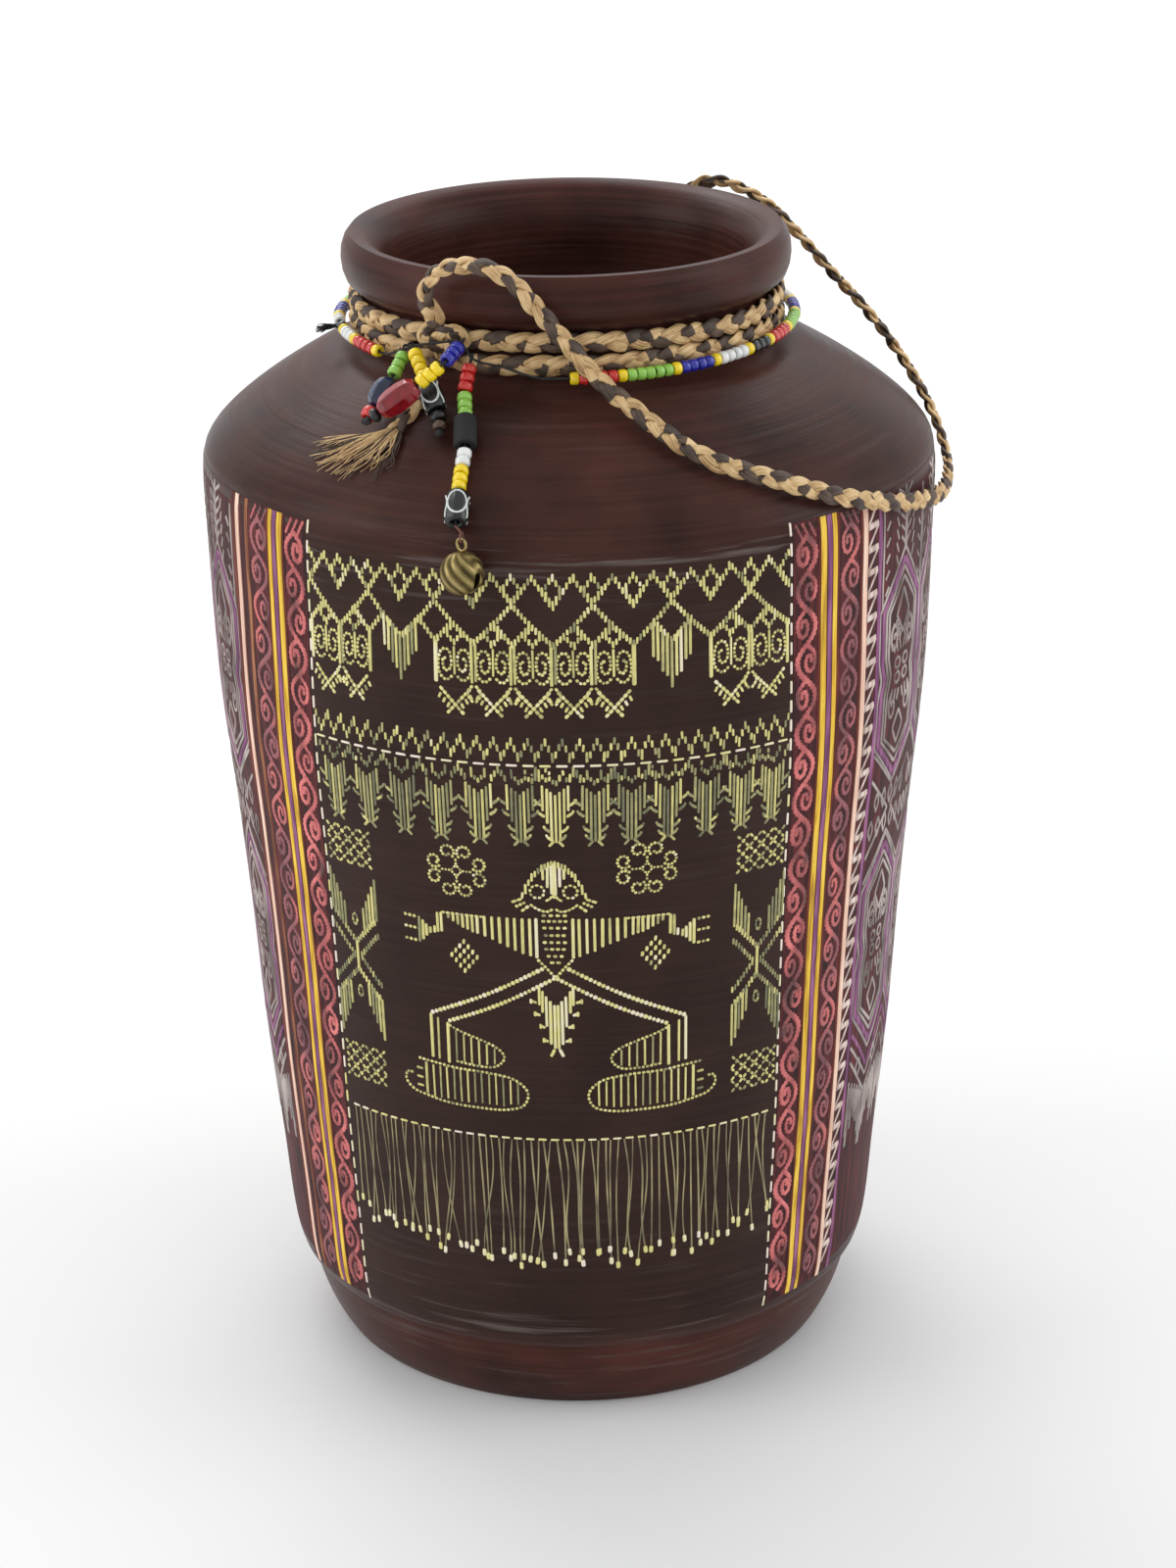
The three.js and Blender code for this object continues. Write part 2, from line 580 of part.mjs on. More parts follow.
const BARREL = [[0.62, 0], [0.9, 0.12], [1, 0.38], [0.98, 0.66], [0.85, 0.88], [0.62, 1]];
const FACETED = [[0.55, 0], [0.95, 0.22], [1, 0.5], [0.95, 0.78], [0.55, 1]];
const TUBE = [[0.8, 0], [1, 0.06], [1, 0.94], [0.8, 1]];
const seeds = (count) => ({ length: SEED_LENGTH * count, geometry: seedRun(count) });
const bead = (radius, length, shares) => ({ length, geometry: turnedBead(radius, length, 8, shares) });

// A thread through a list of places, each with its own radius
function threadThrough(places, radii, sides) {
  const rings = places.map((place, i) => {
    const before = place.clone().sub(places[Math.max(0, i - 1)]);
    const after = places[Math.min(places.length - 1, i + 1)].clone().sub(place);
    const direction = before.normalize().add(after.normalize()).normalize();
    const { face, side } = stringAxes(place, direction, awayFromPot(place));
    return Array.from({ length: sides }, (_, k) => {
      const a = (k / sides) * Math.PI * 2;
      return place
        .clone()
        .addScaledVector(side, Math.cos(a) * radii[i])
        .addScaledVector(face, Math.sin(a) * radii[i]);
    });
  });
  const points = [...rings.flat(), places[0], places.at(-1)];
  const last = (rings.length - 1) * sides;
  const faces = [];
  for (let k = 0; k < sides; k++) {
    const next = (k + 1) % sides;
    for (let i = 0; i < rings.length - 1; i++) {
      const [p, q, r, t] = [i * sides + k, i * sides + next, (i + 1) * sides + next, (i + 1) * sides + k];
      faces.push(p, t, r, p, r, q);
    }
    faces.push(points.length - 2, k, next);
    faces.push(points.length - 1, last + next, last + k);
  }
  return new THREE.BufferGeometry().setFromPoints(points).setIndex(faces);
}

// Axes of a piece strung at a place: its length, its side away from the pot, and the side between them
function stringAxes(place, direction, away) {
  const face = away.clone().addScaledVector(direction, -away.dot(direction)).normalize();
  return { face, side: new THREE.Vector3().crossVectors(direction, face) };
}

const loopSpace = EYE_RADIUS + EYE_THREAD_RADIUS + EYE_CLEARANCE;

// Strings named pieces on a thread along a line. The thread starts in a loop or plain, and ends in a
// stopper knot or plain.
function strand(name, points, threadMaterial, pieces, { loop = false, stopper = false } = {}) {
  const line = new THREE.CatmullRomCurve3(points, false, "centripetal");
  const total = line.getLength();
  const at = (distance) => {
    const place = line.getPointAt(Math.min(1, distance / total));
    return place.addScaledVector(line.getTangentAt(1), Math.max(0, distance - total));
  };
  const corners = [points[0].clone()];
  let along = loop ? loopSpace : BEAD_GAP;
  let before = null;
  for (const [pieceName, material, { length, geometry }] of pieces) {
    let direction = at(along + length).sub(at(along)).normalize();
    if (before) along += 2 * SEED_EDGE_RADIUS * Math.tan(before.angleTo(direction) / 2);
    const start = at(along);
    direction = at(along + length).sub(start).normalize();
    before = direction;
    const { face, side } = stringAxes(start, direction, awayFromPot(start));
    const mesh = add(vase, pieceName, geometry, material, start.x, start.y, start.z);
    mesh.quaternion.setFromRotationMatrix(new THREE.Matrix4().makeBasis(side, direction, face));
    corners.push(start, start.clone().addScaledVector(direction, length));
    along += length + BEAD_GAP;
  }
  const end = at(along - (stopper ? 0 : BEAD_GAP * 0.5));
  corners.push(end);
  const first = corners[1].clone().sub(corners[0]).normalize();
  const last = end.clone().sub(corners.at(-2)).normalize();
  if (loop) corners[0].addScaledVector(first, EYE_RADIUS);
  const radii = corners.map(() => THREAD_RADIUS);
  if (stopper) {
    for (const [further, radius] of [[0.3, 1], [1.1, 1], [1.5, 0.5]]) {
      corners.push(end.clone().addScaledVector(last, STOPPER_RADIUS * further));
      radii.push(STOPPER_RADIUS * radius);
    }
  }
  let geometry = threadThrough(corners, radii, 6);
  if (loop) {
    const through = threadTangent(points[0]);
    through.addScaledVector(first, -through.dot(first)).normalize();
    const across = new THREE.Vector3().crossVectors(first, through);
    const ring = new THREE.TorusGeometry(EYE_RADIUS, EYE_THREAD_RADIUS, 5, 10).applyMatrix4(
      new THREE.Matrix4().makeBasis(across, first, through).setPosition(points[0]),
    );
    geometry = geometryOf(solid(geometry).add(solid(ring)));
  }
  add(vase, `${name}_thread`, geometry, threadMaterial);
  return { end, last };
}

// The direction straight out from the pot's outline at the nearest height or radius
function awayFromPot(point) {
  const radius = Math.hypot(point.x, point.y);
  if (radius < SHOULDER_TOP_RADIUS + 1) return outward(point).setZ(0.5).normalize();
  let nearest = 0;
  outerPlaces.forEach((place, i) => {
    const distance = Math.hypot(place.x - radius, place.y - point.z);
    if (distance < Math.hypot(outerPlaces[nearest].x - radius, outerPlaces[nearest].y - point.z)) nearest = i;
  });
  const i = THREE.MathUtils.clamp(nearest, 1, outerPlaces.length - 2);
  const along = outerPlaces[i + 1].clone().sub(outerPlaces[i - 1]).normalize();
  return outward(point).multiplyScalar(-along.y).setZ(along.x).normalize();
}

strand(
  "blue_drop",
  [
    ties.blue,
    besidePot(-39.9, 3.2, 7.4),
    besidePot(-41, 10.4, 4.4),
    besidePot(-40.6, 14.4, 4.1),
  ],
  blackThread,
  [
    ["blue_drop_green_beads", greenBead, seeds(3)],
    ["blue_glass_bead", navyGlass, bead(GEM_RADIUS, GEM_LENGTH, FACETED)],
    ["blue_drop_red_bead", redBead, bead(END_BEAD_RADIUS * 1.1, END_BEAD_LENGTH * 1.15, BARREL)],
  ],
  { loop: true, stopper: true },
);

strand(
  "horn_drop",
  [
    ties.horn,
    besidePot(-32.4, 1.8, 7.8),
    besidePot(-27.4, 8.4, 4.8),
    besidePot(-24.8, 13.8, 4.2),
    besidePot(-23.6, 19.7, 4),
  ],
  blackThread,
  [
    ["horn_drop_yellow_beads", yellowBead, seeds(4)],
    ["horn_drop_carved_bead", horn, bead(HORN_RADIUS, HORN_LENGTH, BARREL)],
    ["horn_drop_black_bead", horn, bead(END_BEAD_RADIUS, END_BEAD_LENGTH, BARREL)],
    ["horn_drop_brown_bead", brownThread, bead(END_BEAD_RADIUS * 0.9, END_BEAD_LENGTH * 0.9, BARREL)],
  ],
  { loop: true, stopper: true },
);

strand(
  "red_drop",
  [
    ties.red,
    besidePot(-24.8, 2.4, 15.2),
    besidePot(-27.2, 5.6, 13.8),
    besidePot(-30.8, 10.4, 11.4),
    besidePot(-34.8, 15.6, 9.2),
  ],
  blackThread,
  [
    ["red_drop_blue_beads", blueBead, seeds(3)],
    ["red_drop_yellow_beads", yellowBead, seeds(3)],
    ["red_glass_bead", redGlass, bead(LARGE_GEM_RADIUS, LARGE_GEM_LENGTH, FACETED)],
    ["red_drop_black_bead", horn, bead(END_BEAD_RADIUS * 0.95, END_BEAD_LENGTH * 0.85, BARREL)],
  ],
  { loop: true, stopper: true },
);

// The longest drop bends in three places between its beads, so its thread is three lengths
const LINK_GAP = 0.45;
const linkAfter = (link) => link.end.clone().addScaledVector(link.last, LINK_GAP);
const upper = strand(
  "bell_drop_upper",
  [ties.bell, besidePot(-22.6, 2.2, 5.9), besidePot(-20.8, 8.7, 4.4), besidePot(-18.4, 19.6, 3.9)],
  blackThread,
  [
    ["bell_drop_red_beads", redBead, seeds(3)],
    ["bell_drop_green_beads", greenBead, seeds(3)],
    ["bell_drop_black_bead", horn, bead(TUBE_RADIUS, TUBE_LENGTH, TUBE)],
  ],
  { loop: true },
);
const middle = strand(
  "bell_drop_middle",
  [linkAfter(upper), besidePot(-17.9, 26, 3.4), besidePot(-17.2, 33, 3.9)],
  blackThread,
  [
    ["bell_drop_white_beads", whiteBead, seeds(2)],
    ["bell_drop_yellow_beads", yellowBead, seeds(3)],
  ],
);
const lower = strand(
  "bell_drop_lower",
  [linkAfter(middle), besidePot(-16.5, 38.6, 5.4), besidePot(-15.8, 44.6, 7.2)],
  blackThread,
  [["bell_drop_carved_bead", horn, bead(LARGE_HORN_RADIUS, LARGE_HORN_LENGTH, BARREL)]],
);

// The brown cord under the carved bead ends in a loop that passes through the bell's ring
const CORD_LOOP_RADIUS = 1.22;
const CORD_RADIUS = 0.3;
const CORD_STEM = 3.1;
const BELL_WALL_CLEARANCE = 0.9;
const BELL_AZIMUTH = -14.8;
const cordTop = linkAfter(lower);
const bellReach = CORD_STEM + 2 * (CORD_LOOP_RADIUS + BELL_RING_RADIUS + BELL_RADIUS);
const besideBell = outerPlaces.filter((place) => place.y < cordTop.z && place.y > cordTop.z - bellReach);
const widestBesideBell = Math.max(...besideBell.map((place) => place.x));
const bellAxis = around(BELL_AZIMUTH, widestBesideBell + BELL_WALL_CLEARANCE + BELL_RADIUS, 0);
const cordOut = outward(bellAxis);
const down = new THREE.Vector3(0, 0, -1);
const cordReach = bellAxis.clone().sub(cordTop).setZ(0).length();
const cordDrop = Math.sqrt(Math.max(0.5, CORD_STEM ** 2 - cordReach ** 2));
const cordLoopTop = bellAxis.clone().setZ(cordTop.z - cordDrop);
const cordLoopMiddle = cordLoopTop.clone().addScaledVector(down, CORD_LOOP_RADIUS);
const cordLoop = new THREE.TorusGeometry(CORD_LOOP_RADIUS, CORD_RADIUS, 6, 12).applyMatrix4(
  new THREE.Matrix4()
    .makeBasis(cordOut, down, new THREE.Vector3().crossVectors(cordOut, down))
    .setPosition(cordLoopMiddle),
);
const cordStem = threadThrough([cordTop, cordLoopTop], [CORD_RADIUS, CORD_RADIUS], 6);
add(vase, "bell_cord", geometryOf(solid(cordStem).add(solid(cordLoop))), brownThread);

// A cast rumbler bell: a hollow ball, slit across its underside, with a ring on top and a loose pellet
// inside
const HOOK_CLEARANCE = 0.3;
const cordBottom = cordLoopMiddle.clone().addScaledVector(down, CORD_LOOP_RADIUS);
const ringTube = BELL_RING_THICKNESS / 2;
const hookOverlap = CORD_RADIUS + ringTube + HOOK_CLEARANCE;
const ringMiddle = cordBottom.clone().add(new THREE.Vector3(0, 0, hookOverlap - BELL_RING_RADIUS));
const bellMiddle = ringMiddle.clone().add(new THREE.Vector3(0, 0, -BELL_RING_RADIUS - BELL_RADIUS + 0.15));
const bellRight = new THREE.Vector3().crossVectors(new THREE.Vector3(0, 0, 1), cordOut).normalize();
const SLIT_TURN = 48; // degrees, so that the slit shows right of the middle
const SLIT_RISE = 2.2; // above the bell's middle
function ball(radius, sides, rings) {
  return solid(new THREE.SphereGeometry(radius, sides, rings).rotateX(Math.PI / 2));
}
const slit = new THREE.BoxGeometry(BELL_SLIT, BELL_RADIUS * 2.4, BELL_RADIUS + SLIT_RISE)
  .translate(0, 0, (SLIT_RISE - BELL_RADIUS) / 2)
  .rotateZ(THREE.MathUtils.degToRad(SLIT_TURN));
const ringSolid = solid(
  new THREE.TorusGeometry(BELL_RING_RADIUS, ringTube, 7, 14)
    .rotateX(Math.PI / 2)
    .translate(0, 0, BELL_RADIUS + BELL_RING_RADIUS - 0.15),
);
const hollow = ball(BELL_RADIUS - BELL_WALL, 16, 10);
const bellBody = ball(BELL_RADIUS, 18, 12).subtract(hollow).subtract(solid(slit));
const bellShape = geometryOf(bellBody.add(ringSolid));
const bell = add(vase, "bell", bellShape, brass, bellMiddle.x, bellMiddle.y, bellMiddle.z);
bell.quaternion.setFromRotationMatrix(
  new THREE.Matrix4().makeBasis(bellRight, cordOut.clone().negate(), new THREE.Vector3(0, 0, 1)),
);
const PELLET_CLEARANCE = 0.5;
const pelletDrop = BELL_RADIUS - BELL_WALL - PELLET_RADIUS - PELLET_CLEARANCE;
const pelletMiddle = bellMiddle.clone().add(new THREE.Vector3(0, 0, -pelletDrop));
const pellet = new THREE.SphereGeometry(PELLET_RADIUS, 10, 7);
add(vase, "bell_pellet", pellet, brass, pelletMiddle.x, pelletMiddle.y, pelletMiddle.z);

export default vase;
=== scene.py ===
# A hand-thrown pottery vase, dark brown, painted with a woven-cloth pattern. Its neck is bound with a plaited
# fibre cord that also makes a carrying strap, and hung with a seed-bead necklace, four bead drops and a bell.
import math
import random

import bmesh
import bpy
import numpy as np
from mathutils import Matrix, Vector


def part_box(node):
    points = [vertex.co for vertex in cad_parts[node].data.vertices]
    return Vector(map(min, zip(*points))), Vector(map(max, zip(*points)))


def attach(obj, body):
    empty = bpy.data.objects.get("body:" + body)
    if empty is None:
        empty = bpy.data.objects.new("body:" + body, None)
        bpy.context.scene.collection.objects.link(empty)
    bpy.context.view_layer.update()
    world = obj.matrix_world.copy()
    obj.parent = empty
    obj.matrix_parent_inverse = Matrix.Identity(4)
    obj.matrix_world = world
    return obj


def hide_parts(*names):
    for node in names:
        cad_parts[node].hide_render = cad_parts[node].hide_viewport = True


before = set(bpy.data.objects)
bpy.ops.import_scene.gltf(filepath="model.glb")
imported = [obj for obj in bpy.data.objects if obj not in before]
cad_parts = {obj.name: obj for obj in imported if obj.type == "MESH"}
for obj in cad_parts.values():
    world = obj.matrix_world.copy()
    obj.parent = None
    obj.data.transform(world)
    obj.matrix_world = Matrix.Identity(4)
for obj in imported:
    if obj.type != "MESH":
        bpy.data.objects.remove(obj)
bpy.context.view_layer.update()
MM = 0.001

# Camera: a little above the vase, looking down on it by 21 degrees, and turned by a touch about its line of
# sight. The vase stands slightly left of the picture's middle.
CAMERA_DISTANCE = 1101.606 * MM
CAMERA_AIM_HEIGHT = 159.419 * MM
CAMERA_ELEVATION = math.radians(21.388)
CAMERA_ROLL = math.radians(-0.856)
CAMERA_LENS = 59.238
CAMERA_SHIFT = 0.00896
FAR_CLIP = 30
SENSOR_HEIGHT = 24
camera_place = Vector((
    0,
    -CAMERA_DISTANCE * math.cos(CAMERA_ELEVATION),
    CAMERA_AIM_HEIGHT + CAMERA_DISTANCE * math.sin(CAMERA_ELEVATION),
))
bpy.ops.object.camera_add(location=camera_place)
camera = bpy.context.object
camera.name = "camera"
tilt = Matrix.Rotation(math.pi / 2 - CAMERA_ELEVATION, 4, "X")
camera.matrix_world = Matrix.Translation(camera_place) @ tilt @ Matrix.Rotation(CAMERA_ROLL, 4, "Z")
camera.data.sensor_fit = "VERTICAL"
camera.data.sensor_height = SENSOR_HEIGHT
camera.data.lens = CAMERA_LENS
camera.data.shift_x = CAMERA_SHIFT
camera.data.clip_end = FAR_CLIP
bpy.context.scene.camera = camera

# Floor and light: a white studio sheet under soft light from all round, with a broad lamp at each side of the
# vase, one over the sheet far behind it, and a small one high up at the back on the left.
SHEET_SIZE = 24
SHEET_COLOUR = (0.80, 0.80, 0.795, 1)
DAYLIGHT = (0.97, 0.985, 1, 1)
DAYLIGHT_STRENGTH = 0.84
LAMPS = (
    ("left_lamp", (-1.5, -0.35, 0.9), (0, 0, 0.2), 0.9, 1.3, 8),
    ("right_lamp", (1.5, -0.1, 0.9), (0, 0, 0.2), 0.9, 1.3, 7),
    ("back_lamp", (0.0, 3.0, 2.6), (0, 3.0, 0), 4.0, 2.4, 60),
    ("window_lamp", (-0.7, 1.3, 1.7), (0, 0, 0.25), 1.2, 0.8, 9),
)


def feed(node, sockets):
    """Gives each socket of a node its value, or joins it to the output of another node."""
    for socket, value in sockets.items():
        if isinstance(value, bpy.types.NodeSocket):
            node.id_data.links.new(value, node.inputs[socket])
        else:
            node.inputs[socket].default_value = value


def new_finish(name):
    """A material, with its node tree and its shader."""
    finish = bpy.data.materials.new(name)
    finish.use_nodes = True
    return finish, finish.node_tree, finish.node_tree.nodes["Principled BSDF"]


bpy.ops.mesh.primitive_plane_add(size=SHEET_SIZE)
floor = bpy.context.object
floor.name = "floor"
sheet_finish, _, sheet_shader = new_finish("studio_sheet")
feed(sheet_shader, {"Base Color": SHEET_COLOUR, "Roughness": 0.9})
floor.data.materials.append(sheet_finish)

world = bpy.data.worlds.new("studio")
bpy.context.scene.world = world
world.use_nodes = True
feed(world.node_tree.nodes["Background"], {"Color": DAYLIGHT, "Strength": DAYLIGHT_STRENGTH})
for name, place, aim, width, height, watts in LAMPS:
    bpy.ops.object.light_add(type="AREA", location=place)
    lamp = bpy.context.object
    lamp.name = name
    lamp.data.shape = "RECTANGLE"
    lamp.data.size = width
    lamp.data.size_y = height
    lamp.data.energy = watts
    lamp.rotation_euler = (Vector(aim) - Vector(place)).to_track_quat("-Z", "Y").to_euler()
bpy.context.scene.view_settings.view_transform = "Standard"

# Carrying strap: a flat plait of three strands of straw-coloured leaf, one of them nearly all brown and one brown
# in places, about 6 mm wide. It comes out of the front knot, loops over the rim, lies across the shoulder and is
# tied in again behind.
STRAP_WIDTH = 5.6 * MM
STRAP_THICKNESS = 2.4 * MM
STRAP_TURN = 16 * MM
STRAP_FACING_HEIGHT = 238 * MM
PLAIT_SIDES = 10
STRAND_WIDTH_SHARE = 0.50
STRAND_THICKNESS_SHARE = 0.46
STRAND_WANDER = 0.12
BROWN_REPEAT = 37
BROWN_SHARES = (0, 11, 31)
strap_route = [
    (-32.6, -55.6, 308.6), (-36.5, -57.0, 316.5), (-34.5, -57.5, 322.0), (-29.5, -61.5, 325.5),
    (-22.0, -64.5, 326.0), (-16.0, -66.0, 324.0), (-10.5, -66.5, 319.0), (-4.5, -66.5, 311.5),
    (2.5, -67.0, 303.0), (9.0, -68.5, 296.0), (15.5, -71.0, 291.0), (22.0, -75.0, 286.5),
    (30.5, -79.0, 281.5), (40.0, -81.0, 277.5), (50.5, -80.5, 274.0), (60.5, -78.5, 270.5),
    (71.5, -73.5, 266.0), (82.5, -63.0, 261.5), (91.5, -50.0, 257.5), (98.5, -34.5, 254.5),
    (102.5, -18.5, 253.0), (104.0, -4.5, 254.5), (103.0, 6.5, 259.5), (100.0, 15.0, 266.5),
    (93.0, 24.5, 277.5), (84.0, 31.5, 288.5), (74.5, 38.0, 298.0), (65.5, 43.5, 307.5),
    (57.5, 48.0, 315.0), (51.0, 51.5, 318.5), (44.0, 55.0, 320.5), (37.5, 59.0, 318.5),
    (33.6, 58.6, 313.6), (30.4, 57.6, 309.4),
]


def flowing_line(points, step):
    """A smooth line through the points, with one of its own about every step."""
    points = [np.array(p, float) for p in points]
    points = [2 * points[0] - points[1], *points, 2 * points[-1] - points[-2]]
    line = [points[1]]
    for a, b, c, d in zip(points, points[1:], points[2:], points[3:]):
        before, across, after = (max(np.linalg.norm(q - p), 1e-9) ** 0.5 for p, q in ((a, b), (b, c), (c, d)))
        leaving = ((b - a) / before - (c - a) / (before + across)) * across + (c - b)
        arriving = ((d - c) / after - (d - b) / (across + after)) * across + (c - b)
        count = max(1, math.ceil(np.linalg.norm(c - b) / step))
        for t in np.arange(1, count + 1) / count:
            eased = t * t * (3 - 2 * t)
            line.append((1 - eased) * b + eased * c + t * (1 - t) ** 2 * leaving + t * t * (t - 1) * arriving)
    return np.array(line)


def unit(vectors):
    return vectors / np.maximum(np.linalg.norm(vectors, axis=-1, keepdims=True), 1e-12)


def gone_along(line):
    """How far along the line each of its points lies."""
    return np.concatenate([[0], np.cumsum(np.linalg.norm(np.diff(line, axis=0), axis=1))])


def even_line(line, step):
    """The same line with its points at even distances, and its length."""
    gone = gone_along(line)
    places = np.linspace(0, gone[-1], max(2, round(gone[-1] / step) + 1))
    return np.stack([np.interp(places, gone, line[:, k]) for k in range(3)], axis=1), gone[-1]


def across_line(line, out):
    """The directions to the side of a line at each point, and straight out from it."""
    along = unit(np.gradient(line, axis=0))
    out = unit(out - along * np.sum(out * along, axis=1, keepdims=True))
    return np.cross(along, out), out


def swept(line, out, half_width, half_thick, sides, tapered=0):
    """A flat-oval tube along a line, closed at both ends: corners, faces and line. The widths may vary."""
    count = len(line)
    side, out = across_line(line, out)
    turn = np.arange(sides) / sides * 2 * math.pi
    half_width = np.broadcast_to(half_width, count).copy()
    half_thick = np.broadcast_to(half_thick, count).copy()
    for i in range(tapered):
        share = math.sin(math.pi / 2 * (i + 0.5) / tapered)
        half_width[[i, -1 - i]] *= share
        half_thick[[i, -1 - i]] *= share
    corners = (
        line[:, None]
        + side[:, None] * (half_width[:, None] * np.cos(turn))[..., None]
        + out[:, None] * (half_thick[:, None] * np.sin(turn))[..., None]
    ).reshape(-1, 3)
    faces = []
    for i in range(count - 1):
        for k in range(sides):
            here, following = i * sides + k, i * sides + (k + 1) % sides
            faces.append((here, following, following + sides, here + sides))
    faces.append(tuple(range(sides))[::-1])
    faces.append(tuple((count - 1) * sides + k for k in range(sides)))
    return corners, faces, line


def joined(parts):
    """The corners and faces of all the parts, as one mesh."""
    corners, faces = [], []
    for part in parts:
        faces += [tuple(corner + len(corners) for corner in face) for face in part[1]]
        corners += list(part[0])
    return corners, faces


def new_piece(name, corners, faces, finishes, slot, body="root", stands_for=(), smooth=True):
    """A mesh object at the origin in its finishes. It rides on a body, and may stand for nodes of the frame."""
    mesh = bpy.data.meshes.new(name)
    mesh.from_pydata([tuple(p) for p in corners], [], [tuple(f) for f in faces])
    mesh.polygons.foreach_set("use_smooth", [smooth] * len(faces))
    for finish in finishes:
        mesh.materials.append(finish)
    piece = bpy.data.objects.new(name, mesh)
    bpy.context.scene.collection.objects.link(piece)
    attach(piece, body)
    if stands_for:
        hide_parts(*stands_for)
    return piece


def leaf_piece(name, strands, browned, slot, node, width):
    """Strands of leaf as one piece, its browned faces in the dark finish. Its UVs run along and round each strand."""
    piece = new_piece(name, *joined(strands), (straw, dark_leaf), slot, stands_for=[node])
    piece.data.polygons.foreach_set("material_index", browned)
    place = []
    for index, (corners, faces, line) in enumerate(strands):
        sides = len(corners) // len(line)
        round_strand = np.abs(np.arange(sides) / sides * 2 - 1) * width
        along_strand = np.repeat(gone_along(line), sides) + index * 0.37
        place.append(np.stack([along_strand, np.tile(round_strand, len(line))], axis=1))
    loops = np.zeros(len(piece.data.loops), int)
    piece.data.loops.foreach_get("vertex_index", loops)
    piece.data.uv_layers.new(name="UVMap").data.foreach_set("uv", np.concatenate(place)[loops].ravel())
    return piece


def wired(tree, kind, output, sockets={}, **settings):
    """The output of a new node in a finish, whose sockets are given values or other nodes' outputs."""
    made = tree.nodes.new("ShaderNode" + kind)
    for setting, value in settings.items():
        setattr(made, setting, value)
    feed(made, sockets)
    return made.outputs[output]


def noise(tree, place, scale=1, detail=2, roughness=0.5, stretch=None):
    """Noise over a finish, drawn out where a stretch is given."""
    if stretch:
        place = wired(tree, "Mapping", "Vector", {"Vector": place, "Scale": stretch})
    return wired(tree, "TexNoise", "Fac", {"Vector": place, "Scale": scale, "Detail": detail, "Roughness": roughness})


def shades(tree, share, *stops):
    """Colours that run into each other by a share from 0 to 1, each stop its share and its colour."""
    ramp = tree.nodes.new("ShaderNodeValToRGB")
    elements = ramp.color_ramp.elements
    elements[0].position, elements[1].position = stops[0][0], stops[-1][0]
    for position, colour in stops[1:-1]:
        elements.new(position)
    for element, (position, colour) in zip(elements, stops):
        element.color = (*colour, 1)
    feed(ramp, {"Fac": share})
    return ramp.outputs["Color"]


def relief(tree, height, strength, depth, over=None):
    """Relief of a depth in millimetres, over another relief where one is given."""
    under = {} if over is None else {"Normal": over}
    return wired(tree, "Bump", "Normal", {"Height": height, "Strength": strength, "Distance": depth * MM, **under})


def leaf_finish(name, dark, middle, light):
    """Split leaf or bark fibre: long streaks along each strand, in colour and in relief."""
    finish, tree, shader = new_finish(name)
    place = wired(tree, "UVMap", "UV", uv_map="UVMap")
    streaks = noise(tree, place, detail=4, stretch=(160, 3200, 1))
    patches = noise(tree, place, 190)
    both = wired(tree, "Mix", "Result", {"Factor": 0.45, "A": streaks, "B": patches})
    feed(shader, {
        "Base Color": shades(tree, both, (0.36, dark), (0.48, middle), (0.62, light)),
        "Roughness": 0.6, "Normal": relief(tree, streaks, 0.5, 0.25),
    })
    return finish


straw = leaf_finish("straw_leaf", (0.25, 0.13, 0.05), (0.56, 0.36, 0.16), (0.78, 0.57, 0.30))
dark_leaf = leaf_finish("dark_leaf", (0.022, 0.013, 0.009), (0.055, 0.033, 0.022), (0.13, 0.08, 0.05))


def plait(name, node, line, out, width, thickness, turn, seed, start=0.0):
    """A flat plait of three strands along a line, whose outward directions are given at each of its points."""
    dice = random.Random(seed)
    side, out = across_line(line, out)
    gone = gone_along(line)
    strand_width = width * STRAND_WIDTH_SHARE
    strand_thickness = thickness * STRAND_THICKNESS_SHARE
    swing = (width - strand_width) / 2
    lift = (thickness - strand_thickness) / 2
    strands, browned = [], []
    for strand, brown_share in enumerate(BROWN_SHARES):
        phase = gone / turn * 2 * math.pi + start + strand * 2 * math.pi / 3
        wander = np.zeros(len(gone))
        for harmonic in range(1, 5):
            wander += np.sin(gone / turn * 3.1 * harmonic + dice.uniform(0, 7)) / harmonic
        own_width = strand_width / 2 * (1 + STRAND_WANDER * wander)
        middle = line + side * (swing * np.sin(phase))[:, None] + out * (lift * np.sin(2 * phase))[:, None]
        lean = out + side * (0.5 * np.sin(phase))[:, None]
        strands.append(swept(middle, lean, own_width, strand_thickness / 2, PLAIT_SIDES, tapered=3))
        browned += [
            int((face[0] // PLAIT_SIDES + 9 * seed) % BROWN_REPEAT < brown_share) for face in strands[-1][1]
        ]
    return leaf_piece(name, strands, browned, "braid", node, strand_width)


strap_line, _ = even_line(flowing_line(np.array(strap_route) * MM, 0.5 * MM), 0.6 * MM)
strap_out = strap_line - np.array([0, 0, STRAP_FACING_HEIGHT])
strap = plait(
    "carrying_strap_plait", "carrying_strap", strap_line, strap_out, STRAP_WIDTH, STRAP_THICKNESS, STRAP_TURN, 3,
)

# Pot: one thick-walled vessel thrown on a wheel, with a broad foot, a tall wall that widens upwards, a sloping
# shoulder, a short neck and a rolled lip. It is coated with a dark brown slip, rubbed to a satin sheen.
POT_SEGMENTS = 192
SHARP_TURN = math.radians(33)


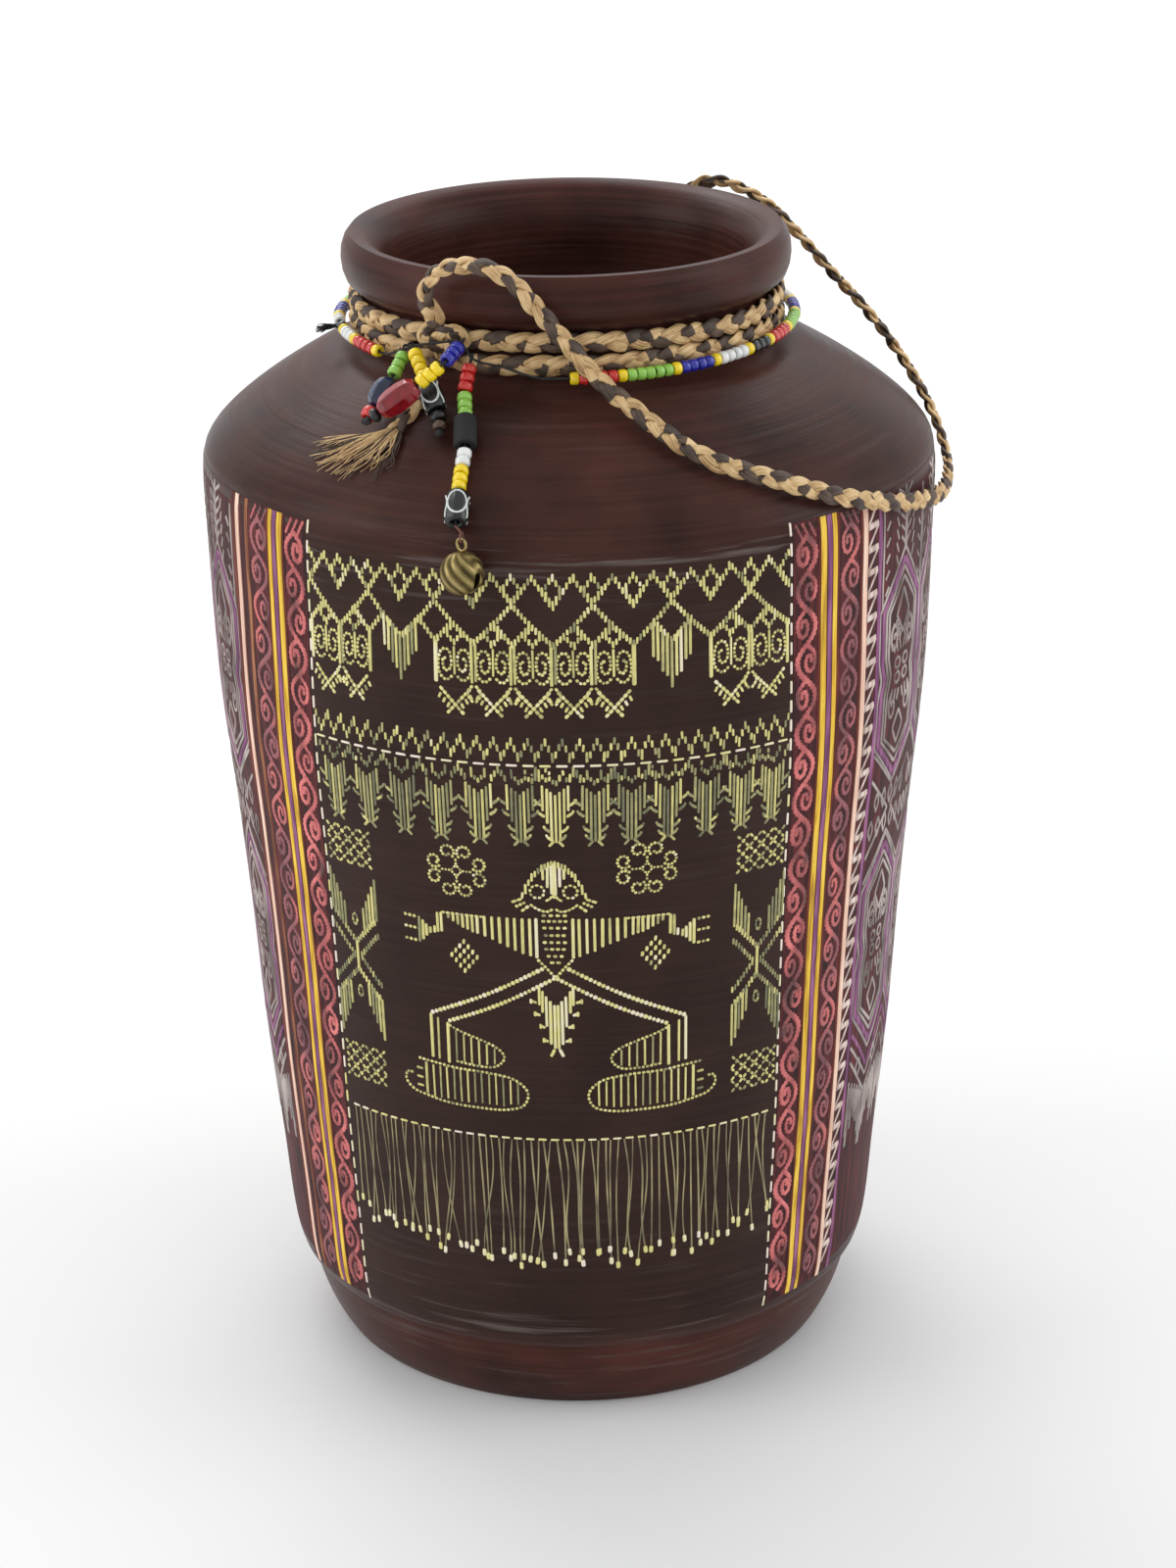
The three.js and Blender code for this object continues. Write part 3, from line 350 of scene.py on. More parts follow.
def outline_of(node):
    """The node's outline from the middle of its base, out and round to the middle of its inside."""
    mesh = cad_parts[node].data
    key = lambda v: (round(-v.co.y, 5), round(v.co.z, 5))
    facing = {v.index: key(v) for v in mesh.vertices if abs(v.co.x) < 1e-6 and v.co.y < 1e-6}
    near = {}
    for edge in mesh.edges:
        a, b = (facing.get(i) for i in edge.vertices)
        if a and b and a != b:
            near.setdefault(a, set()).add(b)
            near.setdefault(b, set()).add(a)
    outline = [min(near, key=lambda place: (place[0] > 1e-4, place[1]))]
    while True:
        onward = [place for place in near[outline[-1]] if place not in outline]
        if not onward:
            return outline
        outline.append(max(onward, key=lambda place: place[0]) if len(outline) == 1 else onward[0])


def rounded(outline, step):
    """The outline with its gentle bends made smooth, and its sharp corners kept."""
    places = [np.array([r, 0, z]) for r, z in outline]
    stretches, stretch = [], [places[0]]
    for before, here, after in zip(places, places[1:], places[2:]):
        stretch.append(here)
        into, leaving = unit(here - before), unit(after - here)
        if math.acos(max(-1, min(1, float(into @ leaving)))) > SHARP_TURN:
            stretches.append(stretch)
            stretch = [here]
    stretches.append([*stretch, places[-1]])
    smooth = [places[0]]
    for stretch in stretches:
        smooth += list(flowing_line(stretch, step))[1:]
    return np.array(smooth)[:, [0, 2]]


outline = rounded(outline_of("pot"), 3 * MM)
rim_height = outline[:, 1].max()
inside_from = int(outline[:, 1].argmax())
outside = outline[:inside_from]


def wall_radius(z):
    """The outside radius of the wall at a height, below the shoulder."""
    wall = outside[(outside[:, 1] > 20 * MM) & (outside[:, 1] < 264 * MM)]
    return np.interp(z, wall[:, 1], wall[:, 0])


def round_vase(azimuth, radius, z):
    """Points at an azimuth, counted from the viewer's side towards the right."""
    azimuth, radius, z = np.broadcast_arrays(azimuth, radius, z)
    return np.stack([radius * np.sin(azimuth), -radius * np.cos(azimuth), z], axis=-1)


def outward(points):
    away = np.array(points, float)
    away[..., 2] = 0
    return unit(away)


def select_only(shape):
    bpy.ops.object.select_all(action="DESELECT")
    shape.select_set(True)
    bpy.context.view_layer.objects.active = shape


def spun(name, profile, sides, closed=False):
    """A shape turned about the upright axis from its profile, as radius and height."""
    count = len(profile)
    edges = [(k, k + 1) for k in range(count - 1)] + ([(count - 1, 0)] if closed else [])
    mesh = bpy.data.meshes.new(name)
    mesh.from_pydata([(r, 0, z) for r, z in profile], edges, [])
    shape = bpy.data.objects.new(name, mesh)
    bpy.context.scene.collection.objects.link(shape)
    select_only(shape)
    bpy.ops.object.mode_set(mode="EDIT")
    bpy.ops.mesh.select_all(action="SELECT")
    bpy.ops.mesh.spin(steps=sides, angle=2 * math.pi, center=(0, 0, 0), axis=(0, 0, 1))
    bpy.ops.mesh.select_all(action="SELECT")
    bpy.ops.mesh.remove_doubles(threshold=1e-6)
    bpy.ops.mesh.normals_make_consistent(inside=False)
    bpy.ops.object.mode_set(mode="OBJECT")
    return shape


pot = spun("thrown_pot", outline, POT_SEGMENTS)
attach(pot, "root")
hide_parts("pot")
bpy.ops.object.shade_smooth_by_angle(angle=SHARP_TURN)


def slip_finish():
    """Dark brown slip, brushed on round the pot: redder on the shoulder, rim and foot, nearly black on the wall."""
    finish, tree, shader = new_finish("brown_slip")
    place = wired(tree, "TexCoord", "Object")
    height = wired(tree, "SeparateXYZ", "Z", {"Vector": place})
    tall = wired(tree, "MapRange", "Result", {"Value": height, "From Max": rim_height})

    def by_height(*stops):
        return shades(tree, tall, *((share, (value, value, value)) for share, value in stops))

    brush = noise(tree, place, detail=5, roughness=0.6, stretch=(9, 9, 900))
    blotches = noise(tree, place, 34, 6)
    mottle = wired(tree, "Math", "Value", {0: brush, 1: 0.6, 2: blotches}, operation="MULTIPLY_ADD")
    spread = wired(tree, "MapRange", "Result", {"Value": mottle, "From Min": 0.55, "From Max": 1.05})
    zones = by_height((0, 1), (0.068, 1), (0.088, 0), (0.79, 0), (0.812, 0.55), (0.90, 0.75), (0.95, 0.9), (1, 1))
    plain = shades(tree, spread, (0, (0.021, 0.0096, 0.0070)), (1, (0.041, 0.0200, 0.0148)))
    red = shades(tree, spread, (0, (0.025, 0.0093, 0.0072)), (1, (0.090, 0.0265, 0.0182)))
    colour = wired(tree, "Mix", "Result", {"Factor": zones, "A": plain, "B": red}, data_type="RGBA")
    # Grey scuff marks, broken up by noise: abrasion on the foot and along the foot of the wall, and along the shoulder
    # edge a grey strip that is partly abrasion and partly a painted highlight.
    scuff_and_highlight_noise = noise(tree, place, detail=4, stretch=(26, 26, 520))
    scuff_and_highlight_breakup = wired(tree, "MapRange", "Result", {"Value": scuff_and_highlight_noise, "From Min": 0.56, "From Max": 0.72})
    rubbed_and_highlit_heights = by_height(
        (0, 0.35), (0.07, 0.5), (0.088, 0.85), (0.13, 0.18), (0.30, 0.05), (0.76, 0.10), (0.79, 0.85), (0.806, 1),
        (0.822, 0.12), (1, 0.1),
    )
    wear_and_painted_highlight = wired(tree, "Math", "Value", {0: scuff_and_highlight_breakup, 1: rubbed_and_highlit_heights}, operation="MULTIPLY")
    toned = wired(tree, "Mix", "Result", {"Factor": wear_and_painted_highlight, "A": colour, "B": (0.125, 0.098, 0.092, 1)}, data_type="RGBA")
    grooves = relief(tree, brush, 0.35, 0.4)
    feed(shader, {
        "Base Color": toned, "Specular IOR Level": 0.13,
        "Roughness": wired(tree, "MapRange", "Result", {"Value": spread, "To Min": 0.30, "To Max": 0.46}),
        "Normal": relief(tree, noise(tree, place, 900, 3), 0.12, 0.3, over=grooves),
    })
    return finish


pot.data.materials.append(slip_finish())

# Front and back cloth panels: rows of raised stitches laid on the wall like the floats of a supplementary weave,
# pale yellow with some greyed and some orange threads. The back panel repeats the front one.
PANEL_CENTRES = (math.radians(-4.2), math.radians(175.8))
COLUMN = 0.88
STITCH_WIDTH = 0.8
STITCH_RISE = 0.2 * MM
STITCH_ROOT = 0.06 * MM
STEP_HEIGHT = 2.05
PATTERN_TOP = 262
PANEL_SPREAD = 0.0004
TONE_SPREAD = 0.13
needle = random.Random(8)
stitches = []
woven = {}


def stitch(start, end, width=STITCH_WIDTH, tone=0.5):
    """One stitch, from start to end in the panel's own millimetres: across from its middle, and height."""
    tone = min(1, max(0, tone + needle.gauss(0, TONE_SPREAD)))
    stitches.append((*start, *end, width * needle.uniform(0.9, 1.1), tone))


def bar(across, low, high, width=STITCH_WIDTH, tone=0.5):
    sway = needle.uniform(-0.12, 0.12)
    stitch((across, low + needle.uniform(-0.2, 0.2)), (across + sway, high), width, tone)


def steps(*points, tone=0.5, tall=STEP_HEIGHT):
    """A slanting line woven as a stair of upright floats, one in each column of the cloth."""
    for (s0, z0), (s1, z1) in zip(points, points[1:]):
        count = max(2, int(math.hypot(s1 - s0, z1 - z0) / 0.1))
        reach = {}
        for i in range(count + 1):
            s, z = s0 + (s1 - s0) * i / count, z0 + (z1 - z0) * i / count
            reach.setdefault(round(s / COLUMN), []).append(z)
        for column, heights in reach.items():
            spare = max(0, tall - (max(heights) - min(heights))) / 2
            woven.setdefault(column, []).append((min(heights) - spare, max(heights) + spare, tone))


def dots(*points, pitch=1.4, length=1.25, width=0.85, tone=0.5):
    """A curved line sewn as a row of short stitches."""
    places = np.array([(s, 0, z) for s, z in points], float)
    line, _ = even_line(flowing_line(places, 0.3) if len(points) > 2 else places, pitch)
    for before, after in zip(line, line[1:]):
        middle, half = (before + after) / 2, (after - before) / 2 * length / pitch
        first, last = middle - half, middle + half
        stitch((first[0], first[2]), (last[0], last[2]), width, tone)


def ring_of_dots(across, height, radius, tone=0.5):
    """A ring of nine short stitches."""
    for k in range(9):
        a, b = (k - 0.42) / 9 * 2 * math.pi, (k + 0.42) / 9 * 2 * math.pi
        stitch(
            (across + radius * math.sin(a), height + radius * math.cos(a)),
            (across + radius * math.sin(b), height + radius * math.cos(b)), 0.8, tone,
        )


# Top border: a zigzag with small lozenges, net meshes under it, and cells with paired hooks on crossed feet. Two
# fringed triangles hang between the groups of cells.
BARS = (-65.9, -56.1, -46.9, -37.5, -28, -17.9, -7.8, 2.5, 12.6, 22.9, 32.8, 43.2, 54.3, 65.6)
CELL_GROUPS = ((0, 2), (4, 9), (11, 13))


def bar_at(index):
    return float(np.interp(index, range(len(BARS)), BARS))


for index, place in enumerate(BARS):
    valley = 247 if index % 2 == 0 else 246.3
    for side in (-1, 1):
        if 0 <= index + side * 0.5 <= 13:
            steps((bar_at(index + side * 0.5), 254.6), (place, valley))
        if 0 <= index + side * 0.2 <= 13:
            steps((place, 254.8), (place + side * 2.2, 250.9), (place, valley + 0.6))
        if index % 2 == 0 and 0 <= index + side <= 13:
            corner = bar_at(index + side * 0.45)
            steps((place, 247), (corner, 241.5), (bar_at(index + side), 236))
            steps((corner, 241.5), (place, 236))
for first, last in CELL_GROUPS:
    for index in range(first, last + 1):
        place = BARS[index]
        if first < index < last:
            bar(place - 0.5, 225, 236, 0.9, 0.6)
            bar(place + 0.5, 225.4, 236.2, 0.8, 0.5)
            for side in (-1, 1):
                dots(
                    (place + side * 0.3, 224.6), (place + side * 1.9, 222.4), (place + side * 0.3, 219.8),
                    pitch=1.3, length=1.4, width=0.9, tone=0.55,
                )
        else:
            bar(place, 224.6, 236.4, 1.15, 0.6)
        if index == last:
            continue
        middle = bar_at(index + 0.5)
        bar(middle, 227.2, 235.0, 0.7, 0.45)
        for side in (-1, 1):
            far = bar_at(index + (side + 1) / 2)
            steps((middle, 241.2), (middle + side * 1.9, 238.5), (middle, 235.8), tall=1.9)
            span = far - middle
            dots(
                *((middle + span * u, z) for u, z in (
                    (0.1, 227.0), (0.44, 225.5), (0.80, 227.2), (0.86, 230.6), (0.66, 233.9), (0.34, 234.1),
                    (0.16, 231.4), (0.22, 228.9), (0.46, 227.9), (0.62, 229.7), (0.57, 231.8), (0.40, 231.5),
                )), pitch=1.15, length=1.1, width=0.95,
            )
            dots(
                (far - side * 0.9, 223.6), (middle - side * 2.3, 216.3), pitch=1.35, length=1.5, width=1.05, tone=0.6,
            )
            for k in range(3):
                prong = middle + side * (1.5 + k * 1.15)
                stitch((prong, 219.5 + k * 1.25), (prong + side * 0.75, 217.9 + k * 1.25), 0.85, 0.55)
for place, left, right, low in ((-37.7, -42.3, -33.3, 223.9), (32.8, 27.9, 37.6, 223.1)):
    for k in range(9):
        across = left + (right - left) * k / 8
        near = 1 - abs(across - place) / (right - left) * 2
        bar(across, low + (1 - near) * 8.6 + (k % 2) * 0.9, 241.8 - near * 5.0, 0.85, 0.48)

# Middle border: a second zigzag over a running stitch, and a row of thirteen tassels with barbed sides.
TASSELS = (-60.3, -49.7, -38.8, -28.3, -17.7, -6.8, 2.3, 12.5, 21.9, 31.5, 42.0, 51.9, 61.3)
ZIGZAG_PITCH = 4.42
RUN_PITCH = 4.3
peak = -66.4
while peak < 66:
    steps((peak, 210.2), (peak + 2.2, 204.9), (peak + ZIGZAG_PITCH, 210.2), tone=0.42, tall=2.2)
    peak += ZIGZAG_PITCH
across = -66.2
while across < 65:
    stitch((across, 203), (across + 3.1, 203), 0.72, 0.85)
    across += RUN_PITCH
for place in TASSELS:
    toned = needle.uniform(0.12, 0.5)
    steps(
        (place - 1.9, 202), (place - 1.6, 199.8), (place, 198.0), (place + 1.6, 199.8), (place + 1.9, 202),
        tone=toned, tall=1.5,
    )
    for side in (-1, 1):
        steps((place + side * 5.1, 201.6), (place + side * 3.7, 198.8), tone=toned)
        for height, reach in ((192.6, 4.9), (189.4, 4.2), (184.9, 2.7), (182.4, 2.1)):
            for near, low, far, high, width in ((-1.5, -0.9, 0.3, 0.4, 0.95), (0.1, 0.1, 0.5, 1.2, 0.8)):
                start = (place + side * (reach + near), height + low)
                stitch(start, (place + side * (reach + far), height + high), width, toned)
        stitch((place + side * 0.5, 181.6), (place + side * 2.0, 179.9), 0.85, toned)
    for k in range(-3, 4):
        low = (181, 181.8, 186.6, 190.2)[abs(k)]
        bar(place + k * 1.1, low, 195 + abs(k) * 0.9, 0.8, toned + (0.15 if k % 2 else -0.05))
for place in [(a + b) / 2 for a, b in zip(TASSELS, TASSELS[1:])]:
    steps((place - 2.0, 199.0), (place, 202.2), (place + 2.0, 199.0), tone=0.35, tall=1.6)

# Middle field: an ancestor figure with spread arms and bent legs, between hooked rosettes and dotted lozenges.
FIGURE = 1.3
for across, height in ((-24.8, 171.2), (26, 172.6)):
    for s, z, turned in ((0, 1, 0), (0, -1, 0), (1, 0, 1), (-1, 0, 1)):
        far = 6.6 if turned else 5.9
        for side in (-1, 1):
            hook = []
            for k in range(11):
                a = math.radians(-55 + k * 40)
                radius = 1.95 if k < 6 else 1.95 - (k - 5) * 0.26
                outward_by, sideways = far - 0.6 + radius * math.sin(a), side * (2.25 - radius * math.cos(a))
                hook.append((
                    across + s * outward_by + (1 - turned) * sideways, height + z * outward_by + turned * sideways
                ))
            dots(*hook, pitch=1.05, length=1.05, width=0.95, tone=0.5)
        dots(
            (across + s * 1.4, height + z * 1.4), (across + s * (far - 2.2), height + z * (far - 2.2)),
            pitch=1.1, length=1.0, width=0.75, tone=0.5,
        )
    dots(
        (across, height + 1.5), (across + 1.4, height), (across, height - 1.5), (across - 1.4, height),
        (across, height + 1.5), pitch=1.1, length=1.0, width=0.7, tone=0.5,
    )
for across, height in ((-23.7, 145.9), (28.4, 147.2)):
    for u in range(4):
        for v in range(4):
            s, z = across + (u - v) * 1.2, height + (u + v - 3) * 1.45
            stitch((s - 0.15, z - 0.85), (s + 0.15, z + 0.85), 0.95, 0.55)
for side in (-1, 1):
    def half(*points):
        """Points of this half of the figure, given from its middle outwards."""
        return [(FIGURE + side * u, z) for u, z in points]

    steps(*half((0.4, 174.9), (3.1, 173.6), (5.7, 170.9), (7.5, 167.4), (8.2, 164.9)), tone=0.55)
    for low, high in (((8.4, 164.4), (11.4, 163.2)), ((7.5, 163.4), (10.4, 161.9)), ((6.6, 162.4), (8.8, 160.6))):
        dots(*half(low, high), pitch=1.3, length=1.35, width=0.95, tone=0.5)
    dots(*half((6.4, 162.9), (5.2, 161.9), (3.4, 161.0), (1.6, 160.7), (0.3, 161.6)), pitch=1.2, width=0.8)
    ring_of_dots(FIGURE + side * 4.4, 166.6, 1.95, 0.6)
    dots(*half((0.4, 165.4), (1.2, 164.4), (2.2, 163.9)), pitch=1.1, width=0.8, tone=0.6)
    for k, low in ((0.55, 165.6), (1.65, 167.9), (2.75, 170.0)):
        bar(FIGURE + side * k, low, 174.9 - k * 0.5, 0.85, 0.62)
    bar(FIGURE + side * 4.9, 146.6, 158.9, 1.0, 0.65)
    reach = 6.6
    while reach < 30:
        low = np.interp(reach, (6.6, 9.6, 15.2, 25.1, 30), (147.3, 148.3, 150.8, 154.3, 156.9))
        bar(FIGURE + side * reach, float(low), 158.7 - max(0, reach - 26) * 0.1, 0.95, 0.5)
        reach += 2.05 if reach < 19 else 1.35
    dots(*half((19, 158.2), (31.2, 158.3)), pitch=1.3, width=0.85)
    for k, low, high in (
        (31.2, 152.4, 158.4), (32.3, 151.9, 158.2), (33.3, 151.6, 154.0), (34.6, 151.2, 153.5), (35.7, 150.3, 154.2),
        (36.8, 149.2, 155.2), (37.9, 148.2, 156.1),
    ):
        bar(FIGURE + side * k, low, high, 0.95, 0.55)
    for high in (155.7, 152.3, 148.6):
        dots(*half((38.6, high), (42.6, high + 0.2)), pitch=1.35, width=1.0, tone=0.5)
    dots(*half((4.9, 146.6), (3.0, 144.6), (0, 141)), pitch=1.3, width=0.95, tone=0.6)
    dots(*half((3.1, 143.9), (18.8, 135.2), (35.9, 127.2)), pitch=1.3, length=1.3, width=1.4, tone=0.7)
    dots(*half((0, 141), (15.9, 132.2), (30.8, 125.4)), pitch=1.3, length=1.3, width=1.35, tone=0.7)
    bar(FIGURE + side * 35.9, 113.4, 127.2, 1.0, 0.62)
    bar(FIGURE + side * 33.9, 113.4, 126.2, 0.7, 0.45)
    bar(FIGURE + side * 31.0, 112.6, 125.2, 0.95, 0.6)
    calf = half(
        (30.8, 124.4), (26.5, 122.6), (22.3, 121.3), (16.4, 118.7), (14.7, 116.2), (17.2, 113.3), (22, 112.9),
        (29, 113.6),
    )
    dots(*calf, pitch=1.2, length=1.1, width=0.85)
    for k, low, high in ((28.6, 113.9, 123.2), (26.4, 113.5, 122.3), (24.2, 113.3, 121.6), (22, 113.2, 120.9),
                         (19.8, 113.3, 120), (17.6, 113.8, 118.9)):
        bar(FIGURE + side * k, low, high, 0.62, 0.4)
    foot = half(
        (40.7, 112.6), (35, 112.1), (29.5, 111.5), (19.6, 111.1), (11.8, 109.5), (8.4, 105.8), (9.7, 101.9),
        (14.5, 100.3), (23.5, 100.1), (32.6, 100.5), (38.5, 101.6), (42.6, 102.6), (45.0, 105.2), (44.2, 107.9),
        (42.4, 107.5),
    )
    dots(*foot, pitch=1.25, length=1.15, width=0.9)
    bar(FIGURE + side * 38.2, 101.9, 111.9, 1.0, 0.6)
    for k in range(13):
        low, high = (101.3, 110.9) if k < 11 else (101.9, 109.6)
        bar(FIGURE + side * (35.9 - k * 2.05), low, high + (0.5 if k < 6 else 0), 0.6, 0.4)
    for high in (109.4, 106.7, 104.1):
        stitch(*half((39.2, high), (41.4, high + 0.2)), 0.85, 0.45)
    for k, low, high in ((0.5, 119.5, 133.0), (1.6, 120.6, 134.2), (2.7, 126.2, 135.6), (3.8, 130.4, 137.2),
                         (4.6, 132.6, 138.8)):
        bar(FIGURE + side * k, low, high, 0.9, 0.62)
    for low, near, far in ((133.4, 5.2, 6.9), (129.6, 4.3, 5.8), (125.9, 3.0, 4.4), (121.7, 2.2, 3.6)):
        stitch(*half((near, low), (far, low + 0.6)), 0.95, 0.58)
        stitch(*half((far, low - 0.4), (far, low + 1.3)), 0.9, 0.58)
    stitch(*half((0.6, 119.6), (1.8, 117.1)), 0.95, 0.6)
bar(FIGURE, 164.6, 175.2, 0.85, 0.62)
for row, (height, reach) in enumerate(
    ((159.6, 3.7), (157.9, 3.7), (155.9, 3.6), (153.7, 3.2), (151.6, 3.6), (149.6, 3.1), (147.5, 2.6), (145.6, 1.7))
):
    dots((FIGURE - reach, height), (FIGURE + reach, height), pitch=1.75 - row % 2 * 0.25, length=1.3, width=0.95)

# Side motifs of the field: latticed squares above and below paired birds' wings, and the panel's red and white
# edge stitches.
WING_HEIGHT = 139.5
WING_TONE = 0.24
LATTICE_REACH = 7.6
for side, middle in ((-1, -57.9), (1, 58.7)):
    def wing(*points):
        """Points given from the motifs' middle, towards the panel's."""
        return [(middle - side * s, z) for s, z in points]

    for low, high in ((166.8, 178.2), (100.6, 111.8)):
        for k in range(-2, 5):
            rise = high - low
            left, right = -LATTICE_REACH + k * 3.8, -LATTICE_REACH + k * 3.8 + rise
            for a, b in (((left, low), (right, high)), ((left, high), (right, low))):
                slant = [(a[0] + (b[0] - a[0]) * t, a[1] + (b[1] - a[1]) * t) for t in np.linspace(0, 1, 60)]
                kept = [(s, z) for s, z in slant if abs(s) <= LATTICE_REACH]
                if len(kept) > 6:
                    dots(*wing(kept[0], kept[-1]), pitch=1.75, length=1.5, width=0.85, tone=0.4)
    for up in (1, -1):
        def turned(*points):
            return wing(*((s, WING_HEIGHT + up * z) for s, z in points))

        steps(*turned((0, 4), (-7.4, 12)), tone=WING_TONE)
        steps(*turned((0, 4), (6.6, 11.4)), tone=0.42)
        steps(*turned((-1.2, 0), (-8, 8)), tone=WING_TONE)
        steps(*turned((1.2, 0), (7.4, 7.4)), tone=WING_TONE)
        for k in range(5):
            for s, near, far, tone in (
                (-7.9 + k * 1.1, 12 - k * 0.9, 25 - k * 2.3, WING_TONE),
                (7.6 - k * 1.1, 11.6 - k * 1.0, 24.6 - k * 2.4, WING_TONE + 0.08),
            ):
                bar(middle - side * s, *sorted((WING_HEIGHT + up * near, WING_HEIGHT + up * far)), 0.85, tone)
        dots(*turned((0, 9.0), (-0.9, 11), (0, 13), (0.9, 11), (0, 9.0)), pitch=1.2, width=0.75, tone=WING_TONE)
    bar(middle, 135, 144, 1.0, 0.45)
    edge = side * 66.7 + (0.2 if side > 0 else 0)
    height = 262.5
    while height > 30:
        stitch((edge, height - 3.7), (edge, height), 0.75, 1 if needle.random() < 0.3 else 0.92)
        height -= 5.4

# Floats of the slanting lines that meet in one column of the cloth are woven as one.
for column, floats in woven.items():
    floats.sort()
    merged = [list(floats[0])]
    for low, high, tone in floats[1:]:
        if low < merged[-1][1] - 0.5:
            merged[-1][1] = max(high, merged[-1][1])
        else:
            merged.append([max(low, merged[-1][1] + 0.2), high, tone])
    for low, high, tone in merged:
        lean = needle.uniform(-0.1, 0.1)
        stitch((column * COLUMN - lean, low), (column * COLUMN + lean, high), STITCH_WIDTH, tone)


STITCH_CORNERS = 8
STITCH_CROWN = 0.68
STITCH_END_TURNS = (80, 30, -30, -80)


def on_panel(centre, across, height, lift):
    """A place on the wall from the panel's millimetres, lifted off the clay by some metres."""
    azimuth = centre + across / 100 * (1 + PANEL_SPREAD * (PATTERN_TOP - height))
    return round_vase(azimuth, wall_radius(height * MM) + lift, height * MM)


def stitched_finish():
    """Painted stitches, each paler or greyer by its own tone, and dirtied unevenly."""
    finish, tree, shader = new_finish("raised_stitches")
    tone = wired(tree, "Attribute", "Fac", attribute_name="tone")
    dirt = noise(tree, wired(tree, "TexCoord", "Object"), 420, 3)
    mixed = wired(tree, "Math", "Value", {0: dirt, 1: 0.35, 2: tone}, operation="MULTIPLY_ADD")
    shifted = wired(tree, "Math", "Value", {0: mixed, 1: 0.175}, operation="SUBTRACT")
    feed(shader, {"Roughness": 0.5, "Base Color": shades(
        tree, shifted, (0.05, (0.16, 0.16, 0.085)), (0.28, (0.36, 0.34, 0.15)), (0.45, (0.66, 0.60, 0.22)),
        (0.62, (0.80, 0.72, 0.28)), (0.8, (0.86, 0.80, 0.50)), (1, (0.93, 0.80, 0.70)),
    )})
    return finish


stitch_finish = stitched_finish()


def lay_stitches(name, centre):
    """All the stitches noted so far, as one piece of long low domes on the wall."""
    marks = np.array(stitches)
    start, end, half = marks[:, 0:2], marks[:, 2:4], marks[:, 4:5] / 2
    along = unit(end - start)
    short = np.linalg.norm(end - start, axis=1, keepdims=True) < 2 * half
    middle = (start + end) / 2
    start = np.where(short, middle - along * 0.05, start + along * half)
    end = np.where(short, middle + along * 0.05, end - along * half)
    side = np.stack([-along[:, 1], along[:, 0]], axis=1)
    rims = []
    for rim, lift in ((1.0, -STITCH_ROOT), (STITCH_CROWN, STITCH_RISE)):
        for place, way in ((start, -1), (end, 1)):
            for turn in STITCH_END_TURNS:
                turn = math.radians(turn) * -way
                edge = place + half * rim * (along * way * math.cos(turn) + side * math.sin(turn))
                rims.append(on_panel(centre, edge[:, 0], edge[:, 1], lift))
    faces = []
    for base in range(0, len(marks) * 2 * STITCH_CORNERS, 2 * STITCH_CORNERS):
        low = [base + i for i in range(STITCH_CORNERS)]
        top = [corner + STITCH_CORNERS for corner in low]
        faces += zip(low, low[1:] + low[:1], top[1:] + top[:1], top)
        faces += [top, low[::-1]]
    piece = new_piece(name, np.stack(rims, axis=1).reshape(-1, 3), faces, [stitch_finish], "clay")
    tones = np.repeat(marks[:, 5], 2 * STITCH_CORNERS)
    piece.data.attributes.new("tone", "FLOAT", "POINT").data.foreach_set("value", tones)
    return piece


for name, centre in zip(("front_panel_stitches", "back_panel_stitches"), PANEL_CENTRES):
    lay_stitches(name, centre)

# Fringe: thin loose threads painted under a running stitch, in wavy lines that cross here and there, each with
# a pale knot at its end.
FRINGE_THREADS = 68
FRINGE_TOP = 91.3
FRINGE_END = 54.0
fringe_finish, tree, shader = new_finish("fringe_thread")
fade = noise(tree, wired(tree, "TexCoord", "Object"), 90)
feed(shader, {
    "Base Color": shades(tree, fade, (0.35, (0.13, 0.11, 0.065)), (0.68, (0.44, 0.38, 0.19))), "Roughness": 0.6,
})
for side_name, centre in zip(("front", "back"), PANEL_CENTRES):
    dice = random.Random(41)
    stitches = []
    across = -64.2
    while across < 63:
        stitch((across, 91.6), (across + 2.5, 91.6), 0.68, 0.72)
        across += 3.5
    threads = []
    for k in range(FRINGE_THREADS):
        top = -63.4 + k * 126.6 / (FRINGE_THREADS - 1) + dice.uniform(-0.3, 0.3)
        drift = (top * 0.012 + dice.gauss(0, 1.3)) + (2.6 if k % 7 == 2 else -2.4 if k % 7 == 3 else 0)
        tip = FRINGE_END + 5.5 * (abs(top) / 63) ** 2 + dice.uniform(-2.6, 3.4)
        t = np.linspace(0, 1, 16)
        bow = dice.uniform(-0.9, 0.9)
        path = top + drift * t**1.3 + bow * np.sin(t * math.pi * dice.uniform(0.9, 1.9))
        height = FRINGE_TOP + (tip - FRINGE_TOP) * t
        line = on_panel(centre, path, height, 0.03 * MM)
        threads.append(swept(line, outward(line), dice.uniform(0.18, 0.27) * MM, 0.14 * MM, 6))
        slant = (path[-1] - path[-2]) / max(0.1, height[-2] - height[-1]) * 2.4
        stitch((path[-1], tip + 0.3), (path[-1] + slant, tip - 2.3), 1.35, 0.74)
    new_piece(f"{side_name}_fringe", *joined(threads), [fringe_finish], "clay")
    lay_stitches(f"{side_name}_fringe_knots", centre)

# Side bands: between the panels and the sides run woven bands of scrolling hooks in rose on dark red, parted by
# yellow and purple stripes and edged with a peach cord and a saw-toothed ladder.
BAND_FOOT = 27.5
WALL_RADIUS = 95
BAND_LEAN = 0.00027
LADDER_PITCH = 6.4
SCROLL_UNIT = 9.9
PANEL_EDGES = (math.radians(34.2), math.radians(-42.6), math.radians(137.4), math.radians(-145.8))
BAND_DIRECTIONS = (1, -1, -1, 1)
EVEN_STREAKS = (700, 700, 45)


